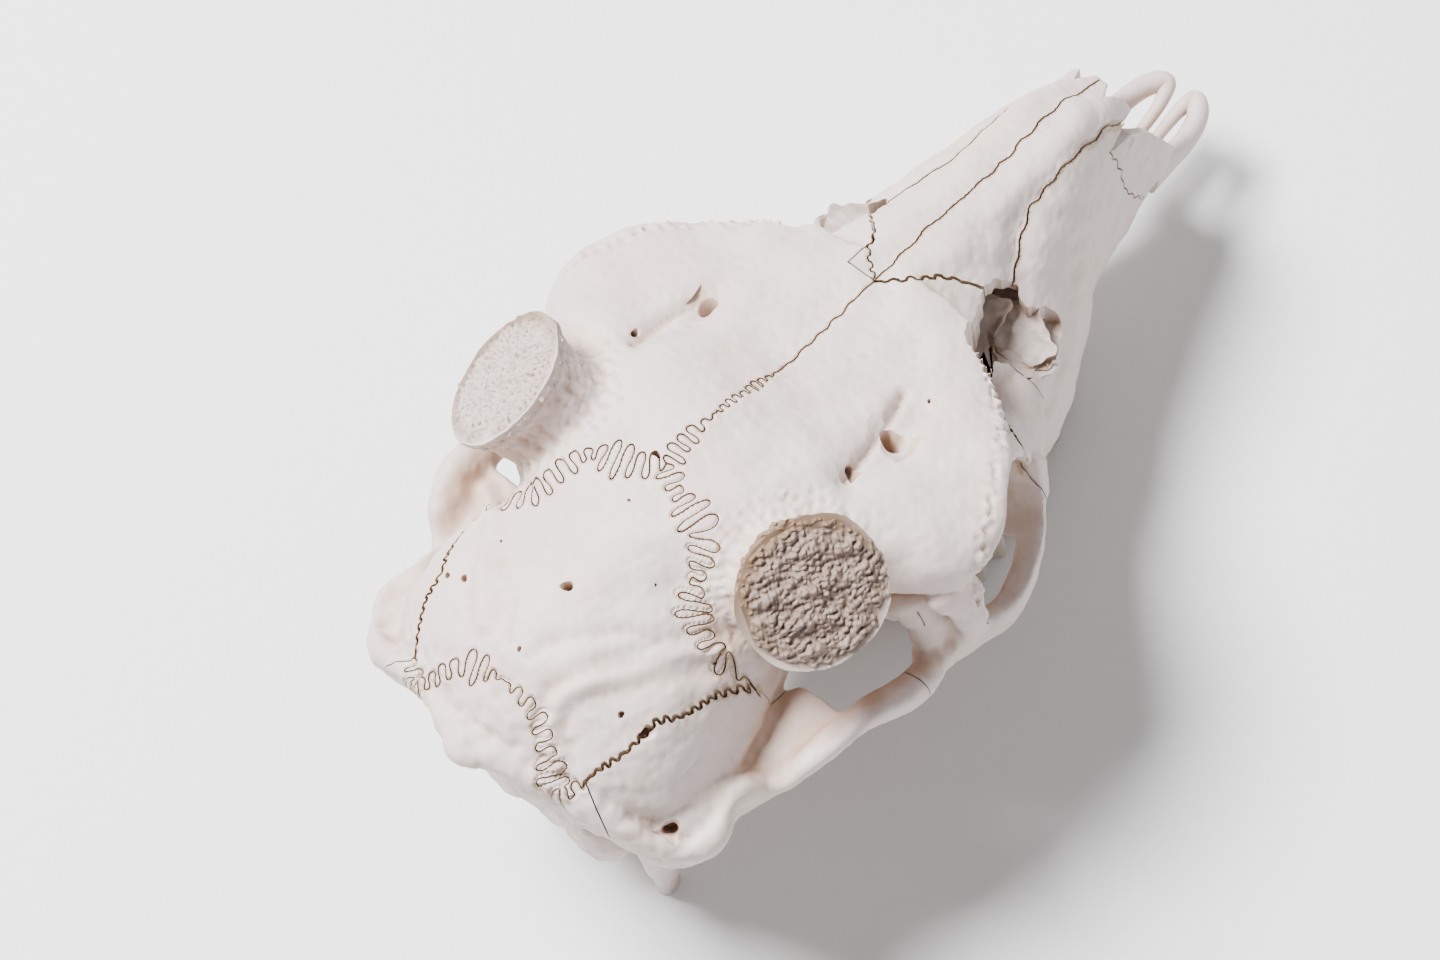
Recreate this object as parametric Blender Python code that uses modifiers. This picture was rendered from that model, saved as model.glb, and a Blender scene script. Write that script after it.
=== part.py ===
"""A deer skull without its lower jaw and with its antlers cast, as a still museum model.

Lengths below are millimetres in the skull's own frame: X runs from the back of the head to
the nose, Y to the animal's left, and Z up from the plane on which the cheek teeth stand.
Everything is given for the left side and the middle, and the right side is its mirror image.
The rounded forms are lofts and straps that are melted into one bone, which thin cuts along
the sutures then part into the single bones.
"""
import math

import bmesh
import bpy
import numpy as np
from mathutils import Matrix, Vector

MM = 0.001
ORIGIN_X = 144.1            # the middle of the skull's length, which becomes the origin
GAP = 0.3                   # space between two bones
VOXEL = 1.15                # grain of the melted forms before they are thinned
CORE_FACES = 4800           # triangles left in the melted form
OUT = 90.0                  # any length that is sure to reach past the skull's side

# Middle line of the roof of the nose: x, z
NASION = (157.6, 110.0)
NASAL_TIP = (241.5, 80.4)

# Lofts: x, y, z, half width, height above, depth below, and how square the upper half is
BRAINCASE = [(18, 0, 101, 15, 13.5, 12), (22, 0, 97, 28, 23.6, 24), (28, 0, 93, 36.5, 31.6, 33),
             (36, 0, 92, 41.5, 36.8, 38), (48, 0, 92, 42.5, 39.8, 40), (62, 0, 92, 40, 41.7, 40),
             (76, 0, 92, 36, 42.6, 38), (90, 0, 92, 32, 42.8, 35), (104, 0, 92, 27, 38, 34)]
BETWEEN_ORBITS = [(96, 0, 88, 29, 42, 36), (108, 0, 84, 24, 42, 38), (120, 0, 80, 21, 38, 38),
                  (132, 0, 76, 21, 37, 36), (144, 0, 74, 26, 36, 38), (154, 0, 70, 31, 38, 40),
                  (164, 0, 66, 34, 40, 42)]
ROSTRUM = [(148, 0, 62, 33, 49.3, 40, 2.2), (160, 0, 60, 37, 49.4, 42, 1.9),
           (172, 0, 58, 38, 47.6, 42, 1.65), (184, 0, 57, 34.5, 45.2, 42, 1.55),
           (194, 0, 56, 29.5, 43.8, 41, 1.7), (204, 0, 54, 23.8, 43.2, 38, 2.1),
           (214, 0, 52, 19.5, 42.2, 34, 2.7), (226, 0, 50, 16.3, 39.8, 30, 3),
           (236, 0, 49, 14.4, 34.9, 25, 2.7), (243, 0, 49, 13.3, 31.1, 22, 2.5),
           (250, 0, 46, 12.6, 30, 19.5, 2.4), (256, 0, 42, 12, 30, 15, 2.4)]
BROW = [(66, 0, 106, 28, 27.4, 10), (74, 0, 106, 38, 28.6, 9), (84, 0, 106, 44, 28.8, 8),
        (96, 0, 106, 46, 27.4, 7), (103, 0, 105.5, 51, 26, 6), (110, 0, 104, 59.5, 24.1, 5),
        (118, 0, 105, 61.8, 18.1, 5.5), (128, 0, 109, 59.5, 8.6, 7.5), (138, 0, 109, 53.5, 4.9, 7.5),
        (147, 0, 106.5, 45.5, 5.2, 8), (156, 0, 103, 36, 7.4, 8), (164, 0, 99, 32, 9, 10)]
SKULL_BASE = [(25, 0, 48, 12, 8, 8), (40, 0, 47, 13, 9, 8), (58, 0, 47, 11, 10, 7),
              (78, 0, 48, 9, 12, 7), (98, 0, 50, 8, 14, 7)]
CHEEK = [(139, 47, 82, 5.5, 20, 20), (147, 42, 81, 8, 20, 28), (156, 36, 72.5, 8.5, 15.5, 30),
         (167, 30.5, 67.5, 8.2, 14, 29), (178, 24.3, 63.5, 7.2, 12.5, 26)]
TOOTH_BED = [(118, 23.5, 26, 4.5, 9, 9), (126, 24, 26, 7.5, 14, 16), (140, 25.2, 29, 8.5, 20, 21),
             (156, 25.2, 32, 8.8, 26, 24), (174, 22.8, 32, 8, 26, 24), (190, 18.8, 30, 6.6, 20, 22),
             (204, 15, 30, 5, 14, 17), (214, 12.5, 32, 3.5, 8, 8)]
PALATE = [(112, 0, 36, 12, 12, 8), (124, 0, 32, 16, 16, 12), (140, 0, 32, 19, 22, 15),
          (160, 0, 34, 20, 24, 17)]
TEMPLE_WALL = [(28, 37, 88, 6, 8, 12), (36, 40, 88, 7, 9, 14), (44, 39, 88, 7, 9, 14),
               (52, 40, 82, 7, 6, 10), (58, 42, 80, 6, 4, 7)]
ARCH_ROOT = [(36, 38, 79, 8, 6, 9), (46, 37.5, 80, 7.8, 6, 9), (57, 41.5, 82, 10, 5, 7),
             (68, 45, 84.5, 10, 3.2, 4.5), (76, 48, 85, 8, 2.5, 3.5)]
MASTOID = [(28, 32, 74, 7, 20, 12), (36, 32, 70, 8, 22, 18), (44, 31, 67, 7, 20, 14)]

# Straps: x, y, z, half thickness, half height
CREST = [(17, 0, 113.5, 3.4, 3.6), (18, 8, 112.5, 3.2, 4), (20, 16, 110, 3, 4.5),
         (22, 28.5, 103, 3.3, 5.2), (24.5, 39, 94, 3.2, 5.8), (29, 45, 88.5, 3.2, 5.8),
         (36, 47.8, 90.3, 3.2, 5.2), (43, 45.8, 91, 3, 4.8), (49, 46, 87, 3, 4.2), (55, 47.5, 81, 3, 3.6)]
ARCH = [(117, 56.5, 65, 3.2, 7), (104, 57.2, 72, 3.6, 6.2), (94, 58.6, 78.5, 3.8, 6),
        (85, 57.9, 84, 3.6, 6.2), (76, 55.8, 87.5, 3.2, 5.9), (66, 54.4, 88.6, 3.4, 5.9),
        (60, 51.4, 86, 3.2, 5.6), (54, 47.3, 82.2, 3, 4), (45, 43.5, 81, 3, 4.4)]
ARCH_LEAN = (0.3, 1.0)      # the blade of the arch lies flatter toward the ear
ORBIT_FLOOR = [(156, 41, 66, 4, 18), (149, 48, 61.5, 3.8, 14), (140, 54, 58, 3.4, 10),
               (129, 57.2, 57, 3.2, 8.6), (119, 57.4, 60.5, 3.2, 8.2), (110, 56.8, 67, 3.2, 7)]
ORBIT_BAR = [(110, 56.5, 102, 3, 6.5), (112, 60, 93, 3, 6), (113, 60.5, 83, 3, 6),
             (113.5, 58.5, 71, 3.4, 8)]
BAR_BACK = [(103.5, 50, 101, 3.4, 6), (105, 53, 92, 3.4, 6.5), (105.5, 54.5, 83, 3.6, 7),
            (106, 54.5, 73, 4, 8)]
THROAT_SPUR = [(38, 28, 60, 5, 10), (38, 25.5, 44, 4, 9.5), (37.5, 22.5, 27, 3.3, 7.5),
               (37.5, 20, 12, 2.9, 5.2), (38, 18.6, -1.5, 2.5, 3.6)]
WING = [(88, 12, 48, 1.6, 8), (100, 11.5, 42, 1.5, 12), (112, 12, 34, 1.5, 13),
        (122, 13, 30, 1.8, 14)]

# Rounded lumps: centre, radii
CONDYLE = ((31, 12.5, 52), (8.5, 9.5, 12))
EAR_BULB = ((55, 20, 45), (13, 8, 11))
EAR_TUBE = ((44.5, 30, 63), (6, 9.5, 6))
JAW_SOCKET_LIP = ((51, 35, 68), (4, 8, 8))
INION_KNOB = ((15.5, 1.5, 113.5), (4, 5, 3.4))

# The pedicle, the stump from which an antler was cast: depth down its axis, radius
PEDICLE_FACE = Vector((83.0, 43.7, 131.8))
PEDICLE_AXIS = Vector((-0.21, 0.62, 0.756)).normalized()
PEDICLE_RINGS = [(33, 17), (24, 15.6), (14, 14.6), (7, 14.9), (2.5, 16.4), (0, 17.2), (-3, 17.4)]
PEDICLE_TRIM = [(0, 26), (-16, 26)]

# Hollows, as lofts or lumps
NOSE_HOLLOW = [(292, 0, 50, 9, 30, 21), (262, 0, 50, 9, 30, 21), (250, 0, 50, 10, 27, 21.5),
               (243, 0, 52, 10.4, 25.4, 22.5, 2.4), (234, 0, 52, 12, 30, 24, 2.4),
               (224, 0, 52, 13.6, 35, 26.5, 2.6), (212, 0, 53, 17, 38, 30, 2.3),
               (200, 0, 54, 21.4, 40, 33, 1.9), (188, 0, 56, 27.4, 41.2, 35, 1.6),
               (176, 0, 58, 31, 42, 34, 1.6), (166, 0, 62, 28, 38, 32, 1.7), (156, 0, 68, 18, 24, 22, 2)]
ORBIT_HOLLOW = ((131.5, 50, 82), (18.5, 27, 20.5))
TEAR_PIT = ((164, 40.5, 94), (9, 7.5, 11))
BRAIN_STEM_HOLE = ((26, 0, 68), (26, 10.5, 9.5))
THROAT_HOLLOW = ((108, 0, 33), (20, 9.3, 10))
JAW_SOCKET = ((62, 44, 73), (8, 8, 4.5))

# Crisp openings cut last
EAR_HOLE = ((45, 40, 62), (2.6, 9, 2.8))
BROW_HOLE = ((128.5, 28.5, 111), (4, 3.2, 9))
BROW_GROOVE = [(112.5, 30.2, 121.6, 1.5, 2.4), (119, 28.8, 118.2, 1.8, 2.6),
               (128.5, 27.6, 114, 2.2, 3.4), (138, 26, 112.4, 1.6, 2.2)]
# The opening beside the nasal bone, seen from above
SIDE_WINDOW = [(157.8, 27.7), (159.2, 24.4), (166.8, 20.3), (173.7, 17.6), (177.3, 16.2),
               (184, 19), (181.5, 23), (187.5, 26), (186, 30.2), (180, 32.6), (169.3, 34),
               (167.1, 29.2)]
WINDOW_FLOOR = 70.0

# Cheek teeth from the front: length along the row, half width, lobes
TEETH = [(9.5, 3.9, 1), (10.5, 4.6, 1), (10.5, 5.2, 1), (14.0, 6.0, 2), (16.0, 6.6, 2),
         (16.5, 6.4, 2)]
TOOTH_ROW_FRONT = 202.5
TOOTH_ROW_LINE = [(126, 24), (145, 25.5), (160, 25.2), (175, 22.7), (190, 18.9), (204, 15.2)]
TOOTH_ROOT_Z = 16.0
TOOTH_SPACE = 0.5           # how far neighbouring lobes of one row sink into each other

# Bar of the nose tip: along the side, round the bend at the tip and back along the middle
NOSE_BAR = [(247, 11, 35, 1.3, 6), (252, 11, 34, 1.4, 6), (257, 11.1, 32.6, 1.5, 5),
            (262, 10.9, 31, 1.6, 4), (268, 9.7, 30.2, 1.8, 3.5), (273, 7.0, 30, 1.9, 3.3),
            (275, 3.9, 29.6, 1.8, 3), (271.5, 2.3, 28.8, 1.2, 2.4), (264, 2.0, 27.8, 1.1, 2),
            (254, 2.2, 27.4, 1.2, 2), (245, 2.4, 28, 1.3, 2)]
# Slanting mouth of the nose, seen from the side: x, z
NOSE_MOUTH = [(228.5, 77.2), (242.6, 73.8), (242.6, 120), (300, 120), (300, 20), (255, 20), (255, 40.5),
              (249, 54), (244.5, 63.5), (238.5, 70.5)]

# Thin scrolls of bone that show in the window: x, y, z, half thickness, half height
SCROLLS = [[(162, 24, 84, 0.6, 11), (168, 22.5, 86, 0.6, 11), (174, 22, 84, 0.6, 9),
            (178, 25, 82, 0.6, 8)],
           [(166, 30.5, 80, 0.6, 8), (172, 27, 84, 0.6, 10), (178, 26.5, 82, 0.6, 9),
            (182, 29, 79, 0.6, 7)],
           [(163, 26.5, 78, 0.6, 6), (166, 29, 79, 0.6, 7), (172, 31, 78, 0.6, 6),
            (176, 31, 76, 0.6, 5)]]
SCROLL_BASE = [(160.5, 25.5), (167, 22), (176, 19.5), (182, 23.5), (184.5, 27), (182, 29.5),
               (177, 31.5), (170, 32), (167.5, 27.8)]
SCROLL_BASE_THICK = 3.0

# Suture lines seen from above: x, y
CORONAL = [(87.3, 0), (84, 4.5), (81.5, 11), (79.5, 16.5), (73, 19.5), (66, 23), (62.5, 31)]
SQUAMOSAL = [(70.5, 38), (59, 35.5), (47.6, 33.5), (42, 30.5), (34, 29), (27.5, 26), (24, 24.7)]
LAMBDOID = [(19, 21.5), (22.6, 15.8), (27.5, 10), (29.3, 0)]
NASOFRONTAL = [(157.5, 0), (163, 6.4), (169.2, 9.8), (176, 17.5)]
NASOMAXILLARY = [(184, 18.6), (190, 15.4), (199.5, 11.8), (204, 11.4), (218.7, 10.6), (230, 9.9),
                 (243, 9.9)]
BROW_FRONT = [(159.2, 25), (156, 33), (152, 40), (149.5, 46)]
# The suture behind the nose tip, seen from the side: x, z
TIP_AREA = [(228.5, 77.5), (230, 69), (230.3, 60), (233.8, 50), (238.9, 40), (240.5, 30),
            (241.5, 8), (300, 8), (300, 73.5), (243.6, 73.5)]

# Levels and outlines of the regions that the thin cuts part, from above: x, y
PAST = -2.0                 # a little over the middle line
ROOF = 170.0
NASAL_DEPTH = 15.0
FRONTAL_FLOOR = 92.0
ARCH_TOP = 99.0             # under this level the frontal bone stops short of the arch
PARIETAL_FLOOR = 98.0
LACRIMAL_FLOOR = 66.0
TEMPORAL_STEP = 72.0
PALATINE_TOP = 50.0
NASAL_AREA = [(157.5, PAST)] + NASOFRONTAL + NASOMAXILLARY + [(250, 9.9), (250, PAST)]
FRONTAL_AREA = ([(157.5, PAST)] + NASOFRONTAL + BROW_FRONT
                + [(149, OUT), (64, OUT), (66, 38)] + CORONAL[::-1] + [(87.3, PAST)])
FRONTAL_LOW_AREA = ([(157.5, PAST)] + NASOFRONTAL + BROW_FRONT
                    + [(149, OUT), (108, OUT), (101, 51), (70, 45), (66, 38)] + CORONAL[::-1]
                    + [(87.3, PAST)])
PARIETAL_AREA = ([(87.3, PAST)] + CORONAL + [(66, 38)] + SQUAMOSAL + LAMBDOID + [(29.3, PAST)])
LACRIMAL_AREA = BROW_FRONT[::-1] + [(167.1, 29.2), (169.3, 35.5), (172, 50), (170, OUT),
                                    (149, OUT)]
TEMPORAL_UPPER = ([(93, 45), (80, 38)] + SQUAMOSAL + [(21.5, 29), (16, 40), (10, 60), (10, OUT),
                                                      (93, OUT)])
TEMPORAL_LOWER = [(26, 31.5), (20, 45), (10, 60), (10, OUT), (93, OUT), (93, 30), (69, 28),
                  (69, 11.5), (43, 11.5), (43, 31.5)]
OCCIPITAL_AREA = [(-5, PAST), (-5, 60), (10, 60), (43.5, 34), (43.5, 14), (54, 14), (54, PAST)]
ZYGOMATIC_AREA = [(92, 46), (92, OUT), (151, OUT), (155, 44.5), (150, 38.5), (140, 44), (118, 44)]
MAXILLA_AREA = [(115, 15.5), (115, 50), (150, OUT), (300, OUT), (300, PAST), (152, PAST),
                (150, 15.5)]
PALATINE_AREA = [(103, PAST), (103, 40), (152, 40), (152, PAST)]

bone_pale = (0.80, 0.755, 0.72)


def start_clean():
    """Remove what is in the scene and return the two collections that the model uses."""
    for item in list(bpy.data.objects):
        bpy.data.objects.remove(item, do_unlink=True)
    groups = []
    for name in ("deer_skull", "cutters"):
        group = bpy.data.collections.new(name)
        bpy.context.scene.collection.children.link(group)
        groups.append(group)
    return groups


def smooth_rows(rows, steps):
    """Read rows of numbers along a smooth curve through all of them, steps to each span."""
    rows = np.array(rows, float)
    ends = np.vstack([2 * rows[0] - rows[1], rows, 2 * rows[-1] - rows[-2]])
    out = []
    for i in range(1, len(ends) - 2):
        a, b, c, d = ends[i - 1:i + 3]
        for t in np.arange(steps) / steps:
            out.append(0.5 * (2 * b + (c - a) * t + (2 * a - 5 * b + 4 * c - d) * t ** 2
                              + (3 * b - a - 3 * c + d) * t ** 3))
    out.append(rows[-1])
    return np.array(out)


def make_solid(name, points, faces):
    """Make a mesh object from millimetre points in the skull's frame, faces turned outward."""
    placed = (np.array(points, float) - (ORIGIN_X, 0, 0)) * MM
    mesh = bpy.data.meshes.new(name)
    mesh.from_pydata(placed.tolist(), [], faces)
    shape = bmesh.new()
    shape.from_mesh(mesh)
    bmesh.ops.triangulate(shape, faces=shape.faces[:])
    bmesh.ops.recalc_face_normals(shape, faces=shape.faces[:])
    shape.to_mesh(mesh)
    shape.free()
    solid = bpy.data.objects.new(name, mesh)
    cutters.objects.link(solid)
    solid.hide_render = True
    solid.display_type = "WIRE"
    return solid


def skin_rings(name, rings):
    """Close a stack of rings of equal length into a solid with flat ends."""
    count = len(rings[0])
    faces = []
    for i in range(len(rings) - 1):
        for j in range(count):
            k = (j + 1) % count
            faces.append((i * count + j, i * count + k, (i + 1) * count + k, (i + 1) * count + j))
    faces.append(tuple(range(count)))
    faces.append(tuple(range((len(rings) - 1) * count, len(rings) * count)))
    return make_solid(name, np.concatenate(rings), faces)


def loft(name, rows, sides=36, steps=3, power=2.3):
    """Loft rounded sections that stand across X: x, y, z, half width, height, depth.

    A seventh number in a row is the power of its upper half, which is otherwise as the lower.
    """
    turn = np.linspace(0, 2 * math.pi, sides, endpoint=False)
    rows = [tuple(row) if len(row) == 7 else tuple(row) + (power,) for row in rows]
    rings = []
    for x, y, z, half, up, down, square in smooth_rows(rows, steps):
        bend = 2 / np.where(np.sin(turn) > 0, square, power)
        across = np.sign(np.cos(turn)) * np.abs(np.cos(turn)) ** bend
        tall = np.sign(np.sin(turn)) * np.abs(np.sin(turn)) ** bend
        rise = np.where(tall > 0, up, down) * tall
        rings.append(np.column_stack([np.full(sides, x), y + half * across, z + rise]))
    return skin_rings(name, rings)


def strap(name, rows, lean=0.0, sides=12, steps=3):
    """Carry an ellipse along a smooth path: x, y, z, half thickness, half height.

    The ellipse's tall side stands on Z, leaned outward along Y by lean, which is one number or
    the first and last of numbers that change evenly.
    """
    path = smooth_rows(rows, steps)
    leans = np.linspace(lean[0], lean[1], len(path)) if isinstance(lean, tuple) else [lean] * len(path)
    along = np.gradient(path[:, :3], axis=0)
    turn = np.linspace(0, 2 * math.pi, sides, endpoint=False)
    rings = []
    for (x, y, z, thick, tall), forward, tip in zip(path, along, leans):
        forward = forward / np.linalg.norm(forward)
        upright = np.array([0.0, tip, 1.0])
        side = np.cross(forward, upright)
        if np.linalg.norm(side) < 0.35:
            side = np.array([0.0, 1.0, 0.0])
        side = side / np.linalg.norm(side)
        rise = np.cross(side, forward)
        rings.append(np.array([x, y, z]) + thick * np.outer(np.cos(turn), side)
                     + tall * np.outer(np.sin(turn), rise))
    return skin_rings(name, rings)


def stem(name, rows, sides=20, steps=3):
    """Carry an ellipse down a mostly upright path: x, y, z, half width on Y, half depth on X."""
    turn = np.linspace(0, 2 * math.pi, sides, endpoint=False)
    rings = []
    for x, y, z, wide, deep in smooth_rows(rows, steps):
        rings.append(np.column_stack([x + deep * np.cos(turn), y + wide * np.sin(turn),
                                      np.full(sides, z)]))
    return skin_rings(name, rings)


def lump(name, centre, radii, detail=4):
    """Make an ellipsoid."""
    shape = bmesh.new()
    bmesh.ops.create_icosphere(shape, subdivisions=detail, radius=1.0)
    points = np.array([tuple(v.co) for v in shape.verts]) * radii + centre
    faces = [tuple(v.index for v in f.verts) for f in shape.faces]
    shape.free()
    return make_solid(name, points, faces)


def pedicle(name, rows):
    """Stack rings down the pedicle's own axis: depth below the face, radius."""
    side = PEDICLE_AXIS.cross(Vector((0, 0, 1))).normalized()
    other = PEDICLE_AXIS.cross(side)
    turn = np.linspace(0, 2 * math.pi, 28, endpoint=False)
    rings = []
    for depth, radius in rows:
        centre = PEDICLE_FACE - PEDICLE_AXIS * depth
        rings.append(np.array(centre) + radius * (np.outer(np.cos(turn), side)
                                                  + np.outer(np.sin(turn), other)))
    return skin_rings(name, rings)


def grow_outline(outline, amount):
    """Move each side of an outline outward by amount, with mitred corners."""
    points = np.array(outline, float)
    after = np.roll(points, -1, axis=0) - points
    turned = np.roll(points, -1, axis=0)
    area = np.sum(points[:, 0] * turned[:, 1] - turned[:, 0] * points[:, 1])
    normal = np.column_stack([after[:, 1], -after[:, 0]]) * np.sign(area)
    normal /= np.linalg.norm(normal, axis=1)[:, None]
    before = np.roll(normal, 1, axis=0)
    bend = 1.0 + np.sum(normal * before, axis=1)
    return points + amount * (normal + before) / np.maximum(bend, 0.4)[:, None]


def prism(name, outline, low, high, axis="Z", grow=0.0):
    """Extrude an outline between two levels.

    On Z the outline is x, y, and on Y it is x, z. A level is a number or a function of x.
    """
    ring = grow_outline(outline, grow) if grow else np.array(outline, float)
    rings = []
    for level, sign in ((low, -1), (high, 1)):
        height = np.array([level(p[0]) if callable(level) else level for p in ring]) + sign * grow
        if axis == "Z":
            rings.append(np.column_stack([ring, height]))
        else:
            rings.append(np.column_stack([ring[:, 0], height, ring[:, 1]]))
    return skin_rings(name, rings)


def mirrored(solid):
    """Copy a solid to the other side of the head."""
    mesh = solid.data.copy()
    mesh.transform(Matrix.Diagonal((1, -1, 1, 1)))
    mesh.flip_normals()
    copy = bpy.data.objects.new(solid.name + "_right", mesh)
    cutters.objects.link(copy)
    return copy


def applied(solid):
    """Turn a solid's modifiers into its mesh."""
    depsgraph = bpy.context.evaluated_depsgraph_get()
    mesh = bpy.data.meshes.new_from_object(solid.evaluated_get(depsgraph))
    solid.modifiers.clear()
    solid.data = mesh
    return solid


def combine(solid, other, operation):
    """Join, cut or intersect solid with other, which is then removed.

    The manifold solver is used because the exact one takes minutes on the melted core.
    """
    tool = solid.modifiers.new(operation, "BOOLEAN")
    tool.operation = operation
    tool.solver = "MANIFOLD"
    tool.object = other
    applied(solid)
    bpy.data.objects.remove(other, do_unlink=True)
    return solid


def united(solids):
    """Union a list of closed solids in one step, with the fast solver as in combine."""
    base = solids[0]
    if len(solids) == 1:
        return base
    group = bpy.data.collections.new("to_unite")
    for other in solids[1:]:
        group.objects.link(other)
    tool = base.modifiers.new("unite", "BOOLEAN")
    tool.operation = "UNION"
    tool.operand_type = "COLLECTION"
    tool.solver = "MANIFOLD"
    tool.collection = group
    applied(base)
    for other in solids[1:]:
        bpy.data.objects.remove(other, do_unlink=True)
    bpy.data.collections.remove(group)
    return base


def loose_joined(name, solids):
    """Put overlapping solids in one mesh, for the melting step."""
    points = []
    faces = []
    for solid in solids:
        start = len(points)
        points.extend(tuple(v.co) for v in solid.data.vertices)
        faces.extend(tuple(start + i for i in p.vertices) for p in solid.data.polygons)
        bpy.data.objects.remove(solid, do_unlink=True)
    mesh = bpy.data.meshes.new(name)
    mesh.from_pydata(points, [], faces)
    joined = bpy.data.objects.new(name, mesh)
    cutters.objects.link(joined)
    return joined


def melted(solid, rounds):
    """Replace a solid by one skin of even grain and round its creases."""
    grain = solid.modifiers.new("grain", "REMESH")
    grain.mode = "VOXEL"
    grain.voxel_size = VOXEL * MM
    if rounds:
        ease = solid.modifiers.new("ease", "SMOOTH")
        ease.factor = 0.5
        ease.iterations = rounds
    return applied(solid)


def thinned(solid, triangles):
    """Collapse edges until about the given number of triangles is left."""
    whole = sum(len(p.vertices) - 2 for p in solid.data.polygons)
    fewer = solid.modifiers.new("fewer", "DECIMATE")
    fewer.ratio = triangles / whole
    fewer.use_collapse_triangulate = True
    return applied(solid)


def largest_body(solid):
    """Keep only the largest closed surface of a solid, in triangles."""
    shape = bmesh.new()
    shape.from_mesh(solid.data)
    bmesh.ops.triangulate(shape, faces=shape.faces[:])
    unseen = set(shape.faces)
    bodies = []
    while unseen:
        body = [unseen.pop()]
        for face in body:
            for edge in face.edges:
                for near in edge.link_faces:
                    if near in unseen:
                        unseen.remove(near)
                        body.append(near)
        bodies.append(body)
    bodies.sort(key=lambda body: -sum(face.calc_area() for face in body))
    for body in bodies[1:]:
        bmesh.ops.delete(shape, geom=body, context="FACES")
    loose = [v for v in shape.verts if not v.link_faces]
    bmesh.ops.delete(shape, geom=loose, context="VERTS")
    shape.to_mesh(solid.data)
    shape.free()
    return solid


def closed_over_middle(solid):
    """Mirror a half whose flat face lies on the middle plane into one whole bone."""
    shape = bmesh.new()
    shape.from_mesh(solid.data)
    near = 2e-6
    for vert in shape.verts:
        if abs(vert.co.y) < near:
            vert.co.y = 0.0
    flat = [f for f in shape.faces if all(v.co.y == 0.0 for v in f.verts)]
    bmesh.ops.delete(shape, geom=flat, context="FACES")
    copy = bmesh.ops.duplicate(shape, geom=shape.verts[:] + shape.edges[:] + shape.faces[:])
    fresh = copy["geom"]
    for vert in (g for g in fresh if isinstance(g, bmesh.types.BMVert)):
        vert.co.y = -vert.co.y
    bmesh.ops.reverse_faces(shape, faces=[g for g in fresh if isinstance(g, bmesh.types.BMFace)])
    middle = [v for v in shape.verts if v.co.y == 0.0]
    bmesh.ops.remove_doubles(shape, verts=middle, dist=1e-7)
    shape.to_mesh(solid.data)
    shape.free()
    return solid


def bone_material(name, tint):
    """Give one bone its own slightly different off white."""
    paint = bpy.data.materials.new(name)
    paint.use_nodes = True
    shader = paint.node_tree.nodes["Principled BSDF"]
    shader.inputs["Base Color"].default_value = (*[c * tint for c in bone_pale], 1.0)
    shader.inputs["Roughness"].default_value = 0.62
    shader.inputs["Metallic"].default_value = 0.0
    return paint


def finish_bone(name, solid, tint):
    """Name a bone, give it its material and put it in the model's collection."""
    solid.name = name
    solid.data.name = name
    solid.data.materials.clear()
    solid.data.materials.append(bone_material(name, tint))
    solid.data.shade_smooth()
    solid.data.set_sharp_from_angle(angle=math.radians(50))
    cutters.objects.unlink(solid)
    model.objects.link(solid)
    solid.hide_render = False
    solid.display_type = "TEXTURED"
    return solid


def finish_pair(name, solid, tint):
    """Finish a left bone and its mirror image."""
    other = mirrored(solid)
    finish_bone(name + "_left", solid, tint)
    finish_bone(name + "_right", other, tint)


def under_crown(x):
    """Give the level under the nasal bones, a set depth below the roof of the nose."""
    slope = (NASAL_TIP[1] - NASION[1]) / (NASAL_TIP[0] - NASION[0])
    return NASION[1] + slope * (x - NASION[0]) - NASAL_DEPTH


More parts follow.
